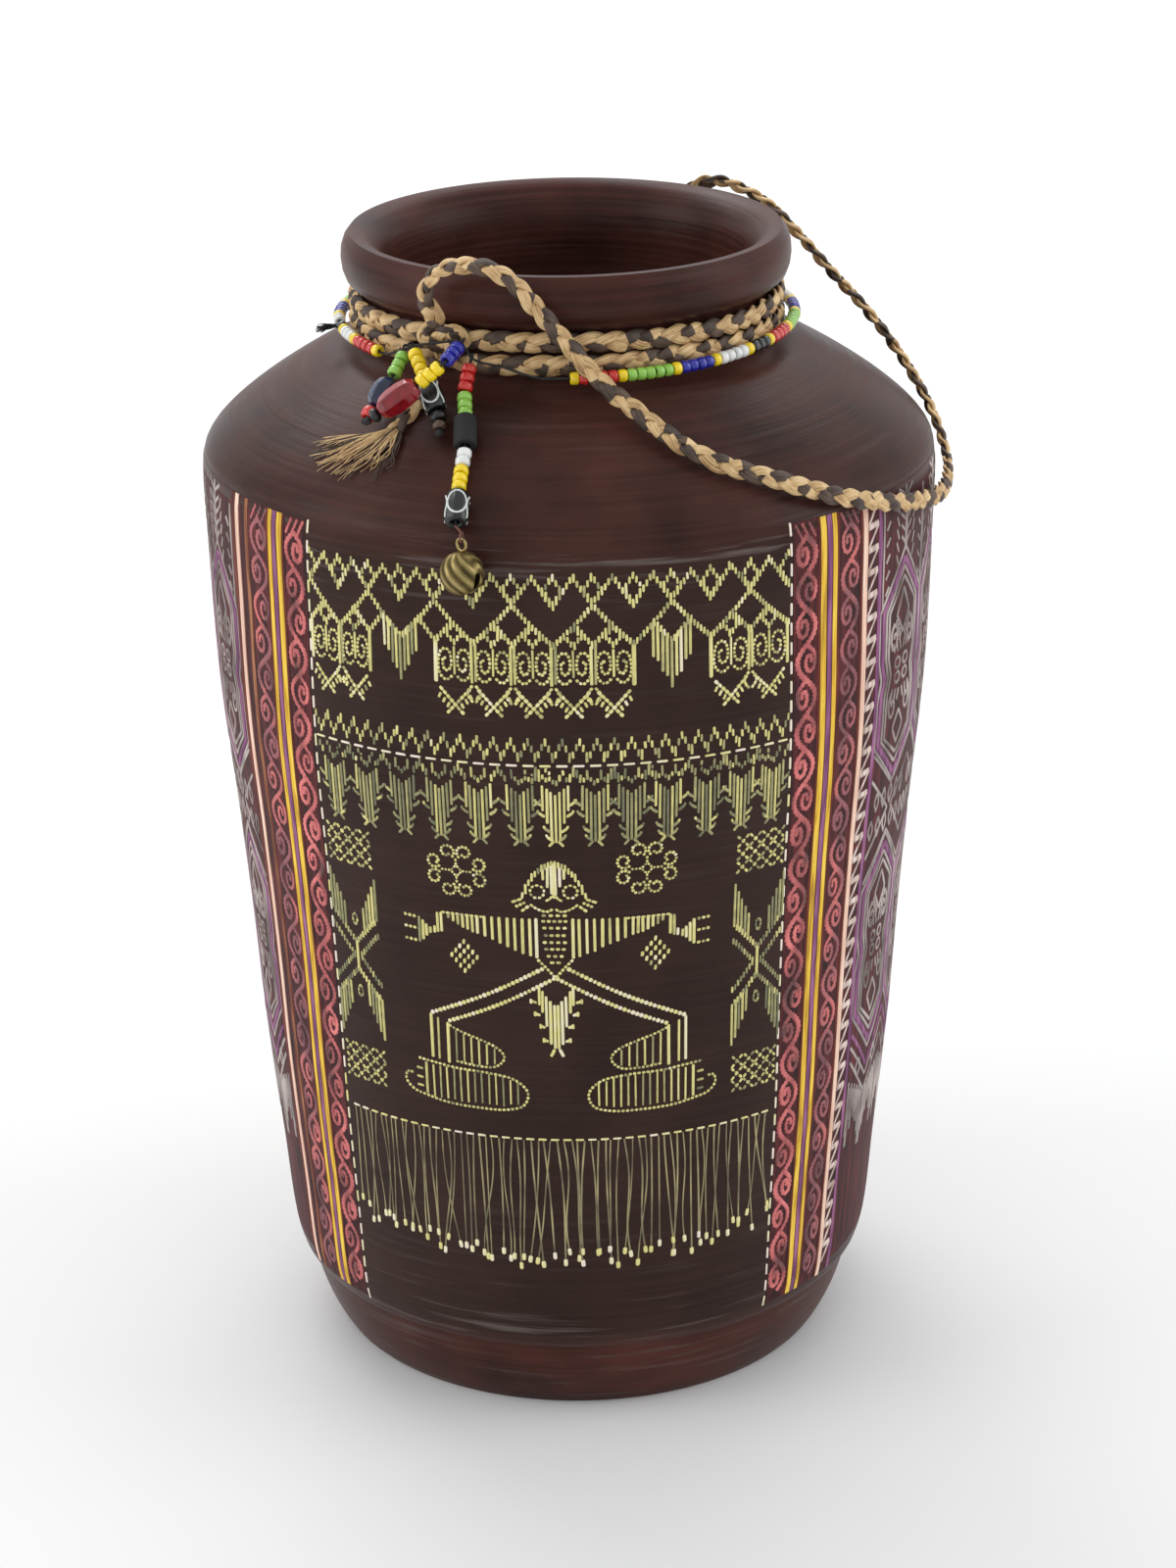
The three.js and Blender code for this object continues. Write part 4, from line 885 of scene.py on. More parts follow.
def yarn_finish(name, shadow, body, light, stretch=EVEN_STREAKS):
    """Painted yarn: upright streaks from dark to light in the shades given."""
    finish, tree, shader = new_finish(name)
    streaks = noise(tree, wired(tree, "TexCoord", "Object"), detail=3, stretch=stretch)
    feed(shader, {
        "Base Color": shades(tree, streaks, (0.34, shadow), (0.5, body), (0.66, light)),
        "Roughness": 0.62, "Specular IOR Level": 0.2, "Normal": relief(tree, streaks, 0.3, 0.15),
    })
    return finish


maroon = yarn_finish("maroon_ground", (0.024, 0.008, 0.009), (0.060, 0.012, 0.014), (0.12, 0.020, 0.022))
dark_red = yarn_finish("dark_red_edge", (0.07, 0.010, 0.008), (0.12, 0.020, 0.014), (0.18, 0.035, 0.022))
rose = yarn_finish("rose_scroll", (0.13, 0.06, 0.06), (0.46, 0.12, 0.12), (0.76, 0.22, 0.21), (160, 160, 60))
dusty_rose = yarn_finish(
    "dusty_rose_scroll", (0.12, 0.055, 0.06), (0.30, 0.11, 0.12), (0.62, 0.17, 0.16), (130, 130, 45),
)
marigold = yarn_finish("marigold_stripe", (0.45, 0.24, 0.025), (0.76, 0.46, 0.04), (0.90, 0.62, 0.09))
plum = yarn_finish("plum_stripe", (0.13, 0.04, 0.10), (0.23, 0.075, 0.18), (0.36, 0.14, 0.27))
peach = yarn_finish("peach_cord", (0.72, 0.44, 0.33), (0.85, 0.56, 0.43), (0.93, 0.68, 0.55))
russet = yarn_finish("russet_stripe", (0.11, 0.028, 0.015), (0.22, 0.07, 0.03), (0.36, 0.15, 0.07))
chalk = yarn_finish("chalk_ladder", (0.42, 0.30, 0.26), (0.66, 0.52, 0.46), (0.85, 0.73, 0.66))


def on_wall(azimuth, height, lift):
    """A place on the wall. The bands lean away from the panels, which grow wider towards the foot."""
    azimuth = azimuth + BAND_LEAN * (PATTERN_TOP - height) * np.sin(2 * (azimuth - PANEL_CENTRES[0]))
    return round_vase(azimuth, wall_radius(height * MM) + lift, height * MM)


def band(name, near, far, finish, rise=0.12 * MM):
    """A flat strip up the wall between two azimuths, like a ribbon with closed edges."""
    heights = np.linspace(BAND_FOOT, PATTERN_TOP, 70)
    across = np.linspace(min(near, far), max(near, far), max(3, math.ceil(math.degrees(abs(far - near)) / 1.2) + 1))
    grid_a, grid_z = np.meshgrid(across, heights, indexing="ij")
    rings = np.stack([on_wall(grid_a, grid_z, -0.1 * MM), on_wall(grid_a, grid_z, rise)])
    under, over = np.arange(rings.size // 3).reshape(rings.shape[:3]).tolist()
    last_column, last_row = len(across) - 1, len(heights) - 1
    faces = []
    for i in range(last_column):
        for k in range(last_row):
            faces.append((over[i][k], over[i + 1][k], over[i + 1][k + 1], over[i][k + 1]))
            faces.append((under[i][k], under[i][k + 1], under[i + 1][k + 1], under[i + 1][k]))
        faces.append((over[i][0], under[i][0], under[i + 1][0], over[i + 1][0]))
        faces.append((over[i + 1][-1], under[i + 1][-1], under[i][-1], over[i][-1]))
    for k in range(last_row):
        faces.append((over[0][k + 1], under[0][k + 1], under[0][k], over[0][k]))
        faces.append((over[-1][k], under[-1][k], under[-1][k + 1], over[-1][k + 1]))
    return new_piece(name, rings.reshape(-1, 3), faces, [finish], "clay", smooth=False)


def drawn(name, strokes, finish, rise=0.2 * MM, sides=6, notch=0.0):
    """Raised lines on the wall. A stroke is its width in millimetres and its points, as azimuth and height."""
    tubes = []
    for width, points in strokes:
        places = np.array([(a * WALL_RADIUS, 0, z) for a, z in points], float)
        places = flowing_line(places, 1.0) if notch and len(places) > 2 else places
        line, measured = even_line(places, 0.65 if notch else 1.3)
        line = line if len(line) > 2 else even_line(places, measured / 2)[0]
        spine = on_wall(line[:, 0] / WALL_RADIUS, line[:, 2], 0.02 * MM)
        teeth = 1 + notch * np.where(np.arange(len(spine)) % 2, 1, -1)
        tubes.append(swept(spine, outward(spine), width / 2 * MM * teeth, rise, sides))
    return new_piece(name, *joined(tubes), [finish], "clay")


def scroll_chain(near, far, seed):
    """A vine that winds up between two azimuths, with a hook curled into each of its bends."""
    dice = random.Random(seed)
    middle, reach = (near + far) / 2, (far - near) / 2
    lines = []
    units = int((PATTERN_TOP - BAND_FOOT) / SCROLL_UNIT)
    for unit_index in range(units):
        top = PATTERN_TOP - 4 - unit_index * SCROLL_UNIT
        if top - SCROLL_UNIT < BAND_FOOT + 0.5:
            break
        side = 1 if unit_index % 2 else -1
        vine = [
            (middle + reach * side * x, top - SCROLL_UNIT * y)
            for x, y in ((0.05, 0), (-0.35, 0.14), (-0.74, 0.34), (-0.82, 0.52), (-0.62, 0.76), (-0.05, 1.0))
        ]
        lines.append((1.7 * dice.uniform(0.85, 1.15), vine))
        hook = [(middle + reach * side * -0.05, top + 0.2), (middle + reach * side * 0.45, top - 1.6)]
        for k in range(10):
            a = math.radians(35 - k * 47)
            size = 1 - k * 0.082
            hook.append((
                middle + reach * side * (0.28 + 0.56 * size * math.cos(a)),
                top - 4.9 + 3.7 * size * math.sin(a),
            ))
        lines.append((1.45 * dice.uniform(0.85, 1.15), hook))
    for k in range(3):
        slip = middle + reach * (-0.7 + 0.6 * k)
        lines.append((0.9, [(slip - reach * 0.25, PATTERN_TOP - 0.4), (slip + reach * 0.3, PATTERN_TOP - 4.6)]))
    return lines


for number, (edge, way) in enumerate(zip(PANEL_EDGES, BAND_DIRECTIONS)):
    def out_by(degrees):
        return edge + way * math.radians(degrees)

    corner_name = ("right_front", "left_front", "right_back", "left_back")[number]
    right = number % 2 == 0
    band(f"{corner_name}_ground", out_by(0.35), out_by(20.6), maroon, 0.06 * MM)
    drawn(f"{corner_name}_inner_scroll", scroll_chain(out_by(0.7), out_by(5.0), number), rose, notch=0.2)
    outer_vine = scroll_chain(out_by(9.9 if right else 9.4), out_by(14.3), number + 7)
    drawn(f"{corner_name}_outer_scroll", outer_vine, dusty_rose, notch=0.2)
    for stripe, near, far, finish in (
        ("inner_red", 5.15, 5.6, dark_red), ("inner_yellow", 5.7, 6.85, marigold), ("plum", 7.1, 8.0, plum),
        ("outer_yellow", 8.2, 9.1, marigold), ("outer_red", 9.2, 9.6, dark_red),
    ):
        band(f"{corner_name}_{stripe}", out_by(near), out_by(far), finish, 0.14 * MM)
    if right:
        band(f"{corner_name}_edge_red", out_by(14.5), out_by(15.05), dark_red, 0.14 * MM)
        band(f"{corner_name}_peach", out_by(15.1), out_by(16.2), peach, 0.3 * MM)
        band(f"{corner_name}_edge_plum", out_by(19.3), out_by(20.3), plum, 0.16 * MM)
        ladder, height = [], PATTERN_TOP - 1
        while height - LADDER_PITCH > BAND_FOOT:
            ladder.append((2.0, [(out_by(16.5), height), (out_by(19.1), height + 0.4)]))
            ladder.append((1.0, [(out_by(19.1), height), (out_by(16.6), height - 5.6)]))
            height -= LADDER_PITCH
        drawn(f"{corner_name}_ladder", ladder, chalk)
    else:
        band(f"{corner_name}_russet", out_by(14.9), out_by(15.9), russet, 0.14 * MM)
        band(f"{corner_name}_peach", out_by(17.8), out_by(18.9), peach, 0.3 * MM)
        band(f"{corner_name}_edge_red", out_by(19.3), out_by(20.5), dark_red, 0.14 * MM)

# Side panels: knotted dyed cloth in grey on a dark ground, two tiers of nested lozenges outlined in purple, with
# hooks, combs and small lozenges between them, plumes above and a toothed hem below.
SIDE_PANELS = ((math.radians(54.8), math.radians(116.9)), (math.radians(-63.4), math.radians(-125.3)))
SIDE_COLUMNS = 4
TIERS = ((242, 228, 190, 178.5), (158.5, 145.7, 108.5, 96.5))
grey_yarn = yarn_finish("ash_grey_yarn", (0.17, 0.14, 0.13), (0.34, 0.285, 0.27), (0.52, 0.45, 0.42), (120, 120, 60))


def knot_line(lines, width, *points):
    """Adds a line to this side of the column, its points given in half widths from its middle, and in height."""
    lines.append((width, [(middle + side * pitch / 2 * u, z) for u, z in points]))


for panel_name, (near, far) in zip(("right", "left"), SIDE_PANELS):
    pitch = (far - near) / SIDE_COLUMNS
    grey, purple = [], []
    for column in range(SIDE_COLUMNS):
        middle = near + pitch * (column + 0.5)
        for top, shoulder, foot, end in TIERS:
            waist = (shoulder + foot) / 2
            for side in (-1, 1):
                knot_line(
                    purple, 2.3, (0, top - 1), (0.9, shoulder), (0.9, waist + 4), (0.76, waist), (0.9, waist - 4),
                    (0.9, foot), (0, end),
                )
                for u, dz in ((1.04, 2.2), (0.76, -3.4), (0.64, -6.2)):
                    knot_line(
                        grey, 1.15, (0, top + dz), (u, shoulder + dz * 0.15), (u, waist + 5.5), (u - 0.13, waist),
                        (u, waist - 5.5), (u, foot - dz * 0.15), (0, end - dz),
                    )
                for height in (shoulder - 9, foot + 9.5):
                    spiral = []
                    for k in range(11):
                        a = math.radians(80 - k * 44)
                        size = 1 - k * 0.078
                        spiral.append((0.37 + 0.2 * size * math.cos(a), height + 4.6 * size * math.sin(a)))
                    knot_line(grey, 1.2, *spiral)
                for height in (waist + 2.6, waist - 1.6):
                    ring = np.linspace(0, 2 * math.pi, 9)
                    knot_line(grey, 1.05, *((0.2 + 0.13 * math.cos(a), height + 1.6 * math.sin(a)) for a in ring))
                knot_line(grey, 1.15, (0, top - 9.5), (0.3, shoulder - 2.6), (0, shoulder - 8.2))
                for k in range(4):
                    u, z = 0.3 - k * 0.07, shoulder - k * 1.4
                    knot_line(grey, 1.0, (u, z - 3.6), (u + 0.06, z - 6.0))
                knot_line(grey, 1.15, (0, end + 9.0), (0.27, foot + 2.6), (0, foot + 7.4))
                for k in range(3):
                    knot_line(grey, 1.0, (0.08 + k * 0.16, waist - 5.2 + k * 0.4), (0.16 + k * 0.16, waist - 8.4))
                    knot_line(grey, 1.0, (0.06 + k * 0.15, waist + 6.0), (0.12 + k * 0.15, waist + 8.8))
        for side in (-1, 1):
            for k in range(5):
                knot_line(grey, 1.15, (0.02, 245 + k * 3.3), (0.22 + 0.03 * k, 247.5 + k * 3.3))
                knot_line(grey, 1.15, (0.86, 233 + k * 4.6), (0.72, 235.2 + k * 4.6))
                knot_line(grey, 1.0, (0.34, 240 + k * 3.6), (0.44, 243.0 + k * 3.6))
            knot_line(grey, 1.45, (0.02, 243), (0.02, 261))
            knot_line(grey, 1.0, (0.96, 229), (0.96, 258))
            for shift, z in ((0, 172.6), (0.17, 164.6)):
                for u in (shift, shift + 0.34, shift + 0.68):
                    knot_line(grey, 1.0, (u, z + 3), (u + 0.12, z), (u, z - 3), (u - 0.1, z), (u, z + 3))
            for start, end in (
                ((0, 175.5), (1, 187.5)), ((0, 161.5), (1, 149.0)), ((0.1, 168.6), (1, 180)),
                ((0.1, 168.6), (1, 156.5)),
            ):
                knot_line(grey, 1.15, start, end)
            knot_line(purple, 1.6, (0, 88.5), (0.5, 96), (1, 102.5))
            knot_line(grey, 1.15, (0, 85.5), (0.5, 92), (1, 98.5))
            knot_line(grey, 1.15, (0, 80.5), (0.5, 87), (0.95, 93.5))
            for u, low in ((0.05, 63), (0.2, 68), (0.36, 72), (0.52, 74), (0.68, 71), (0.84, 66)):
                knot_line(grey, 1.5, (u, low), (u + 0.02, 80 + 6 * u))
                knot_line(grey, 1.2, (u + 0.07, low + 3.5), (u + 0.08, 82 + 6 * u))
            knot_line(grey, 1.15, (0.5, 93), (0.36, 90), (0.5, 87), (0.64, 90), (0.5, 93))
    band(f"{panel_name}_side_ground", near, far, maroon, 0.03 * MM)
    drawn(f"{panel_name}_side_grey", grey, grey_yarn, 0.16 * MM, 5)
    drawn(f"{panel_name}_side_purple", purple, plum, 0.19 * MM, 5)

# Neck binding: the same plait goes twice round the neck and is tied in a knot in front, and in another behind
# where the strap's end comes in. The knot's tail lies down the shoulder and ends in a brush of loose fibres.
WRAP_WIDTH = 5.9 * MM
WRAP_THICKNESS = 2.5 * MM
WRAP_TURN = 17.5 * MM
WRAP_RISE = 5.75 * MM
KNOT_LOOP = 6.6 * MM
KNOT_DEPTH = 1.3 * MM
KNOT_PLAIT = (4.2 * MM, 1.7 * MM, 15 * MM)
TAIL_PLAIT = (5.2 * MM, 2.2 * MM, 17 * MM)
TAIL_FROM = 63.2
TAIL_REACH = 15.8
TAIL_LIFT = 1.5 * MM
TAIL_AZIMUTH = math.radians(-33.5)
wrap_low, wrap_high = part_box("neck_wrap")
wrap_radius = (wrap_high.y - wrap_low.y) / 2 - WRAP_THICKNESS / 2 - 0.1 * MM
wrap_first = wrap_low.z + WRAP_WIDTH / 2
for level in range(2):
    azimuths = np.radians(np.arange(-31, 330, 0.6))
    swing = 0.35 * MM * np.sin(azimuths * 3 + level * 2)
    wrap_line = round_vase(azimuths, wrap_radius, wrap_first + level * WRAP_RISE + swing)
    plait(
        f"neck_plait_{level + 1}", "neck_wrap", wrap_line, outward(wrap_line), WRAP_WIDTH, WRAP_THICKNESS, WRAP_TURN,
        seed=level + 11, start=level * 1.7,
    )

for name, knot, seed in (("front_knot_plait", "front_knot", 21), ("rear_knot_plait", "rear_knot", 22)):
    low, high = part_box(knot)
    middle = (low + high) / 2
    knot_azimuth = math.atan2(middle.x, -middle.y)
    knot_radius = math.hypot(middle.x, middle.y) - 0.4 * MM
    half_height = (high.z - low.z) / 2 - 1.9 * MM
    a = np.linspace(0.16, 2 * math.pi - 0.16, 160) + math.pi
    across = (np.sin(a) + 2 * np.sin(2 * a)) / 3 * KNOT_LOOP
    up = (np.cos(a) - 2 * np.cos(2 * a)) / 3 * half_height * 1.12
    layer = -np.sin(3 * a) * KNOT_DEPTH
    loops = round_vase(knot_azimuth + across / knot_radius, knot_radius + layer, middle.z + up + 0.6 * MM)
    plait(name, knot, loops, outward(loops), *KNOT_PLAIT, seed)


def shoulder_height(radius):
    """The outside height of the shoulder at a radius."""
    shoulder = outside[(outside[:, 1] > 261 * MM) & (outside[:, 0] > 57 * MM)][::-1]
    return np.interp(radius, shoulder[:, 0], shoulder[:, 1])


def on_shoulder(azimuth, radius, lift):
    slope = (shoulder_height(radius + 1 * MM) - shoulder_height(radius - 1 * MM)) / (2 * MM)
    steep = np.sqrt(1 + slope**2)
    point = round_vase(azimuth, radius - slope / steep * lift, shoulder_height(radius) + lift / steep)
    return point, unit(outward(point) * (-slope / steep)[..., None] + np.array([0, 0, 1]) * (1 / steep)[..., None])


t = np.linspace(0, 1, 40)
tail_line, tail_out = on_shoulder(TAIL_AZIMUTH - math.radians(1.5) * t, (TAIL_FROM + TAIL_REACH * t) * MM, TAIL_LIFT)
plait("tail_plait", "tail", tail_line, tail_out, *TAIL_PLAIT, 31, start=1)

FRAY_STRANDS = 90
dice = random.Random(5)
hairs, browned = [], []
t = np.linspace(0, 1, 14)
for strand in range(FRAY_STRANDS):
    across = dice.uniform(-1, 1)
    reach = dice.uniform(0.55, 1.0) * (1.0 - 0.25 * abs(across))
    fan = (across * (2.0 + 11.5 * t**0.9) - 2.2 * t**2) * MM
    wave = (0.9 + 0.5 * math.sin(strand)) * MM * np.sin(t * (4 + strand % 5) + strand) * (0.3 + t)
    radius = (78 + (15 + 3 * across) * t * reach) * MM
    azimuth = TAIL_AZIMUTH - np.radians(1.5 + 7.5 * reach * t) + (fan + wave) / radius
    lift = (1.3 + 1.0 * math.cos(2.2 * across) * np.sin(math.pi * np.minimum(1, t + 0.25))) * MM
    lift = lift * (1 - 0.6 * t) + dice.uniform(0.1, 0.6) * MM
    hair, hair_out = on_shoulder(azimuth, radius, lift)
    half = dice.uniform(0.11, 0.30) * MM
    hairs.append(swept(hair, hair_out, half * (1 - 0.55 * t), half * 0.6 * (1 - 0.4 * t), 5))
    browned += [int(strand % 5 == 0 or across > 0.75)] * len(hairs[-1][1])
leaf_piece("frayed_brush", hairs, browned, "fibre", "frayed_end", 0.6 * MM)

# Necklace: glass seed beads on a black cotton thread that goes once round the neck under the plait, in runs of
# red, green, blue, white and black parted by single yellow ones. Its spare thread ends in a tuft at the left.
SEED_SIDES = 12
SEED_LENGTH = 2.5 * MM
NECKLACE_RUNS = "Y RRRR Y GGGGG Y BBBB Y WWWW Y KKK".replace(" ", "")
NECKLACE_END = "K Y WWW Y RRRR Y".replace(" ", "")
BEAD_COLOURS = {
    "R": (0.60, 0.020, 0.014), "G": (0.27, 0.56, 0.075), "Y": (0.93, 0.67, 0.004), "B": (0.010, 0.014, 0.33),
    "W": (0.80, 0.80, 0.78), "K": (0.006, 0.006, 0.007), "N": (0.07, 0.035, 0.02),
}


def taken_shape(shape):
    """A modelled shape's corners and faces, once its own object has served."""
    corners = np.array([v.co for v in shape.data.vertices])
    faces = [tuple(polygon.vertices) for polygon in shape.data.polygons]
    bpy.data.objects.remove(shape)
    return corners, faces


def node_places(node):
    """The node's different corners."""
    return np.unique(np.round([v.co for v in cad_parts[node].data.vertices], 6), axis=0)


def seeds_round_neck(node):
    """Each seed of a necklace strand: its middle, its axis, its half length and its radius."""
    places = node_places(node)
    azimuths = np.arctan2(places[:, 0], -places[:, 1]) % (2 * math.pi)
    radii = np.hypot(places[:, 0], places[:, 1])
    neck_radius = (radii.min() + radii.max()) / 2
    count = max(1, round(np.ptp(azimuths) * neck_radius / SEED_LENGTH))
    found = []
    for k in range(count):
        middle = azimuths.min() + np.ptp(azimuths) * (k + 0.5) / count
        near = places[np.abs(azimuths - middle) < np.ptp(azimuths) / count * 0.52]
        place = round_vase(middle, neck_radius, (near[:, 2].min() + near[:, 2].max()) / 2)
        axis = np.array([math.cos(middle), math.sin(middle), 0])
        found.append((place, axis, SEED_LENGTH / 2, np.ptp(radii) / 2))
    return found


def beads_on(node, count=1):
    """The same for the beads of a straight string, which are of one size."""
    places = node_places(node)
    middle = places.mean(axis=0)
    spread, axes = np.linalg.eigh(np.cov((places - middle).T))
    axis = axes[:, 2] if spread[2] - spread[1] > spread[1] - spread[0] else axes[:, 0]
    along = (places - middle) @ axis
    away = np.linalg.norm(places - middle - np.outer(along, axis), axis=1)
    half_length = np.ptp(along) / 2 / count
    return [
        (middle + axis * (along.min() + half_length * (2 * k + 1)), axis, half_length, away.max()) for k in range(count)
    ]


def facing(axis, towards=(0, -1, 0.35)):
    """The direction across an axis that looks most towards the viewer's side."""
    towards = np.array(towards, float)
    return unit(towards - axis * (towards @ axis))


def strung(name, beads, shape, colours, finish, body, nodes, slot, wobble=0.0, seed=1):
    """Copies of one bead shape, each set on its own bead's axis."""
    dice = random.Random(seed)
    shape_corners, shape_faces = shape
    parts, bead_shades = [], []
    for (middle, axis, half_length, radius), colour in zip(beads, colours):
        axis = unit(axis + np.array([dice.gauss(0, wobble) for _ in range(3)]))
        front = facing(axis)
        side = np.cross(axis, front)
        thick = radius * (1 - abs(dice.gauss(0, wobble * 0.35)))
        tall = half_length * (1 - abs(dice.gauss(0, wobble * 0.5)))
        place = (
            middle
            + np.outer(shape_corners[:, 0] * thick, side)
            - np.outer(shape_corners[:, 1] * thick, front)
            + np.outer(shape_corners[:, 2] * tall, axis)
        )
        parts.append((place, shape_faces))
        bead_shades += [(*BEAD_COLOURS[colour], 1)] * len(shape_corners)
    piece = new_piece(name, *joined(parts), [finish], slot, body, nodes)
    select_only(piece)
    bpy.ops.object.mode_set(mode="EDIT")
    bpy.ops.mesh.select_all(action="SELECT")
    bpy.ops.mesh.normals_make_consistent(inside=False)
    bpy.ops.object.mode_set(mode="OBJECT")
    layer = piece.data.attributes.new("bead_colour", "FLOAT_COLOR", "POINT")
    layer.data.foreach_set("color", np.array(bead_shades).ravel())
    return piece


def glass_finish(name, roughness, coat):
    """Opaque coloured glass: each bead's own colour, slightly uneven, under a clear gloss."""
    finish, tree, shader = new_finish(name)
    own = wired(tree, "Attribute", "Color", attribute_name="bead_colour")
    uneven = noise(tree, wired(tree, "TexCoord", "Object"), 260)
    shade = wired(tree, "MapRange", "Result", {"Value": uneven, "To Min": 0.72, "To Max": 1.2})
    tint = {"Factor": 1, "A": own, "B": shade}
    feed(shader, {
        "Base Color": wired(tree, "Mix", "Result", tint, data_type="RGBA", blend_type="MULTIPLY"),
        "Roughness": roughness, "Coat Weight": coat, "Coat Roughness": 0.08,
        "Normal": relief(tree, uneven, 0.2, 0.15),
    })
    return finish


def thread_finish(name, dark, light):
    """Spun cotton or twine: a fine twist in colour and relief."""
    finish, tree, shader = new_finish(name)
    fibres = noise(tree, wired(tree, "TexCoord", "Object"), 2600, 3)
    feed(shader, {
        "Base Color": shades(tree, fibres, (0.35, dark), (0.65, light)),
        "Roughness": 0.85, "Normal": relief(tree, fibres, 0.6, 0.1),
    })
    return finish


def refinished(node, finish):
    """Gives a node of the frame that stays in sight its finish."""
    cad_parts[node].data.materials.clear()
    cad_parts[node].data.materials.append(finish)


def mirror_ended(profile):
    """A bead's profile from its upper half, which the lower half repeats upside down."""
    return [(r, -z) for r, z in profile] + [(r, z) for r, z in profile[::-1] if z]


seed_shape = taken_shape(spun(
    "seed_bead", mirror_ended([(0.34, 0.72), (0.52, 0.98), (0.80, 0.94), (0.98, 0.58)]), SEED_SIDES, closed=True,
))
seed_glass = glass_finish("seed_glass", 0.28, 0.5)
black_thread = thread_finish("black_thread", (0.006, 0.006, 0.007), (0.03, 0.028, 0.028))
brown_thread = thread_finish("brown_thread", (0.07, 0.025, 0.015), (0.22, 0.09, 0.055))
strand_nodes = sorted(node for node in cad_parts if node.startswith("necklace_beads"))
strand_beads = [seed for node in strand_nodes for seed in seeds_round_neck(node)]
strand_beads.sort(key=lambda bead: math.atan2(bead[0][0], -bead[0][1]) % (2 * math.pi))
runs = (NECKLACE_RUNS * 8)[: len(strand_beads) - len(NECKLACE_END)] + NECKLACE_END
strung("necklace_seed_beads", strand_beads, seed_shape, runs, seed_glass, "root", strand_nodes, "necklace_beads", 0.09)
for node in (
    "necklace_thread", "blue_drop_thread", "horn_drop_thread", "red_drop_thread", "bell_drop_upper_thread",
    "bell_drop_middle_thread", "bell_drop_lower_thread",
):
    refinished(node, black_thread)
refinished("bell_cord", brown_thread)

TUFT_HAIRS = 34
tuft_low, tuft_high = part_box("thread_tuft")
tuft_middle = np.array((tuft_low + tuft_high) / 2)
tuft_out = outward(tuft_middle)
tuft_side = np.array([-tuft_out[1], tuft_out[0], 0])
tuft_root = tuft_middle - tuft_out * 3.0 * MM
dice = random.Random(12)
hairs = []
t = np.linspace(0, 1, 9)
upwards = np.tile((0.0, 0.0, 1.0), (len(t), 1))
for k in range(TUFT_HAIRS):
    splay, rise = dice.gauss(0, 0.9), dice.gauss(0, 0.8)
    reach = dice.uniform(4.2, 6.6)
    hair = (
        tuft_root
        + np.outer(t * reach * MM, tuft_out)
        + np.outer((splay * t**1.4 + 0.35 * np.sin(t * 7 + k)) * MM, tuft_side)
        + np.outer((rise * t**1.4 + 0.3 * np.cos(t * 6 + k) - 0.9 * t * t) * MM, (0, 0, 1))
    )
    hairs.append(swept(hair, upwards, 0.26 * MM * (1 - 0.5 * t), 0.24 * MM * (1 - 0.5 * t), 5))
new_piece("thread_ends", *joined(hairs), [black_thread], "black_thread", stands_for=["thread_tuft"], smooth=False)

# Drops: four short strings of seed beads that end in larger ones, faceted blue and red glass, black horn with
# inlaid white loops, and a matt black tube. The longest carries the bell.
for name, node, colours, body, slot in (
    ("blue_drop_seeds", "blue_drop_green_beads", "GGG", "blue_drop", "green_beads"),
    ("blue_drop_end_seed", "blue_drop_red_bead", "R", "blue_drop", "red_beads"),
    ("horn_drop_seeds", "horn_drop_yellow_beads", "YYYY", "horn_drop", "yellow_beads"),
    ("red_drop_blue_seeds", "red_drop_blue_beads", "BBB", "red_drop", "blue_beads"),
    ("red_drop_yellow_seeds", "red_drop_yellow_beads", "YYY", "red_drop", "yellow_beads"),
    ("bell_drop_red_seeds", "bell_drop_red_beads", "RRR", "bell_drop_upper", "red_beads"),
    ("bell_drop_green_seeds", "bell_drop_green_beads", "GGG", "bell_drop_upper", "green_beads"),
    ("bell_drop_white_seeds", "bell_drop_white_beads", "WW", "bell_drop_middle", "white_beads"),
    ("bell_drop_yellow_seeds", "bell_drop_yellow_beads", "YYY", "bell_drop_middle", "yellow_beads"),
):
    beads = beads_on(node, len(colours))
    strung(name, beads, seed_shape, colours, seed_glass, body, [node], slot, 0.07, len(name))

round_shape = taken_shape(spun(
    "round_bead", mirror_ended([(0.3, 0.85), (0.5, 0.99), (0.8, 0.8), (0.97, 0.4), (1, 0)]), 20, closed=True,
))
horn_glass = glass_finish("polished_horn", 0.34, 0.15)
for name, node, colour, body, slot in (
    ("horn_drop_round_black", "horn_drop_black_bead", "K", "horn_drop", "horn"),
    ("horn_drop_round_brown", "horn_drop_brown_bead", "N", "horn_drop", "brown_bead"),
    ("red_drop_round_black", "red_drop_black_bead", "K", "red_drop", "horn"),
):
    strung(name, beads_on(node), round_shape, colour, horn_glass, body, [node], slot)


def cut_shape(name, profile, sides, softness):
    """A many-sided bead with its edges softened."""
    shape = spun(name, profile, sides, closed=True)
    soften = shape.modifiers.new("soften", "BEVEL")
    soften.width = softness
    soften.segments = 2
    soften.limit_method = "ANGLE"
    soften.angle_limit = math.radians(15)
    bpy.ops.object.modifier_apply(modifier="soften")
    return taken_shape(shape)


def clear_glass(name, deep, highlight_colour):
    """Pressed clear glass, coloured through, with a wavy surface, a bright gloss and a painted highlight at its sides.
    """
    finish, tree, shader = new_finish(name)
    cloud = noise(tree, wired(tree, "TexCoord", "Object"), 240, 4)
    # Painted highlight: the colour grows paler where the surface turns away from the view.
    rim = wired(tree, "LayerWeight", "Facing", {"Blend": 0.35})
    blend = wired(tree, "Math", "Value", {0: rim, 1: 0.8, 2: cloud}, operation="MULTIPLY_ADD")
    feed(shader, {
        "Base Color": shades(tree, blend, (0.45, deep), (1, highlight_colour)), "Normal": relief(tree, cloud, 0.35, 0.3),
        "Roughness": 0.12, "Coat Weight": 0.35, "Coat Roughness": 0.05,
    })
    return finish


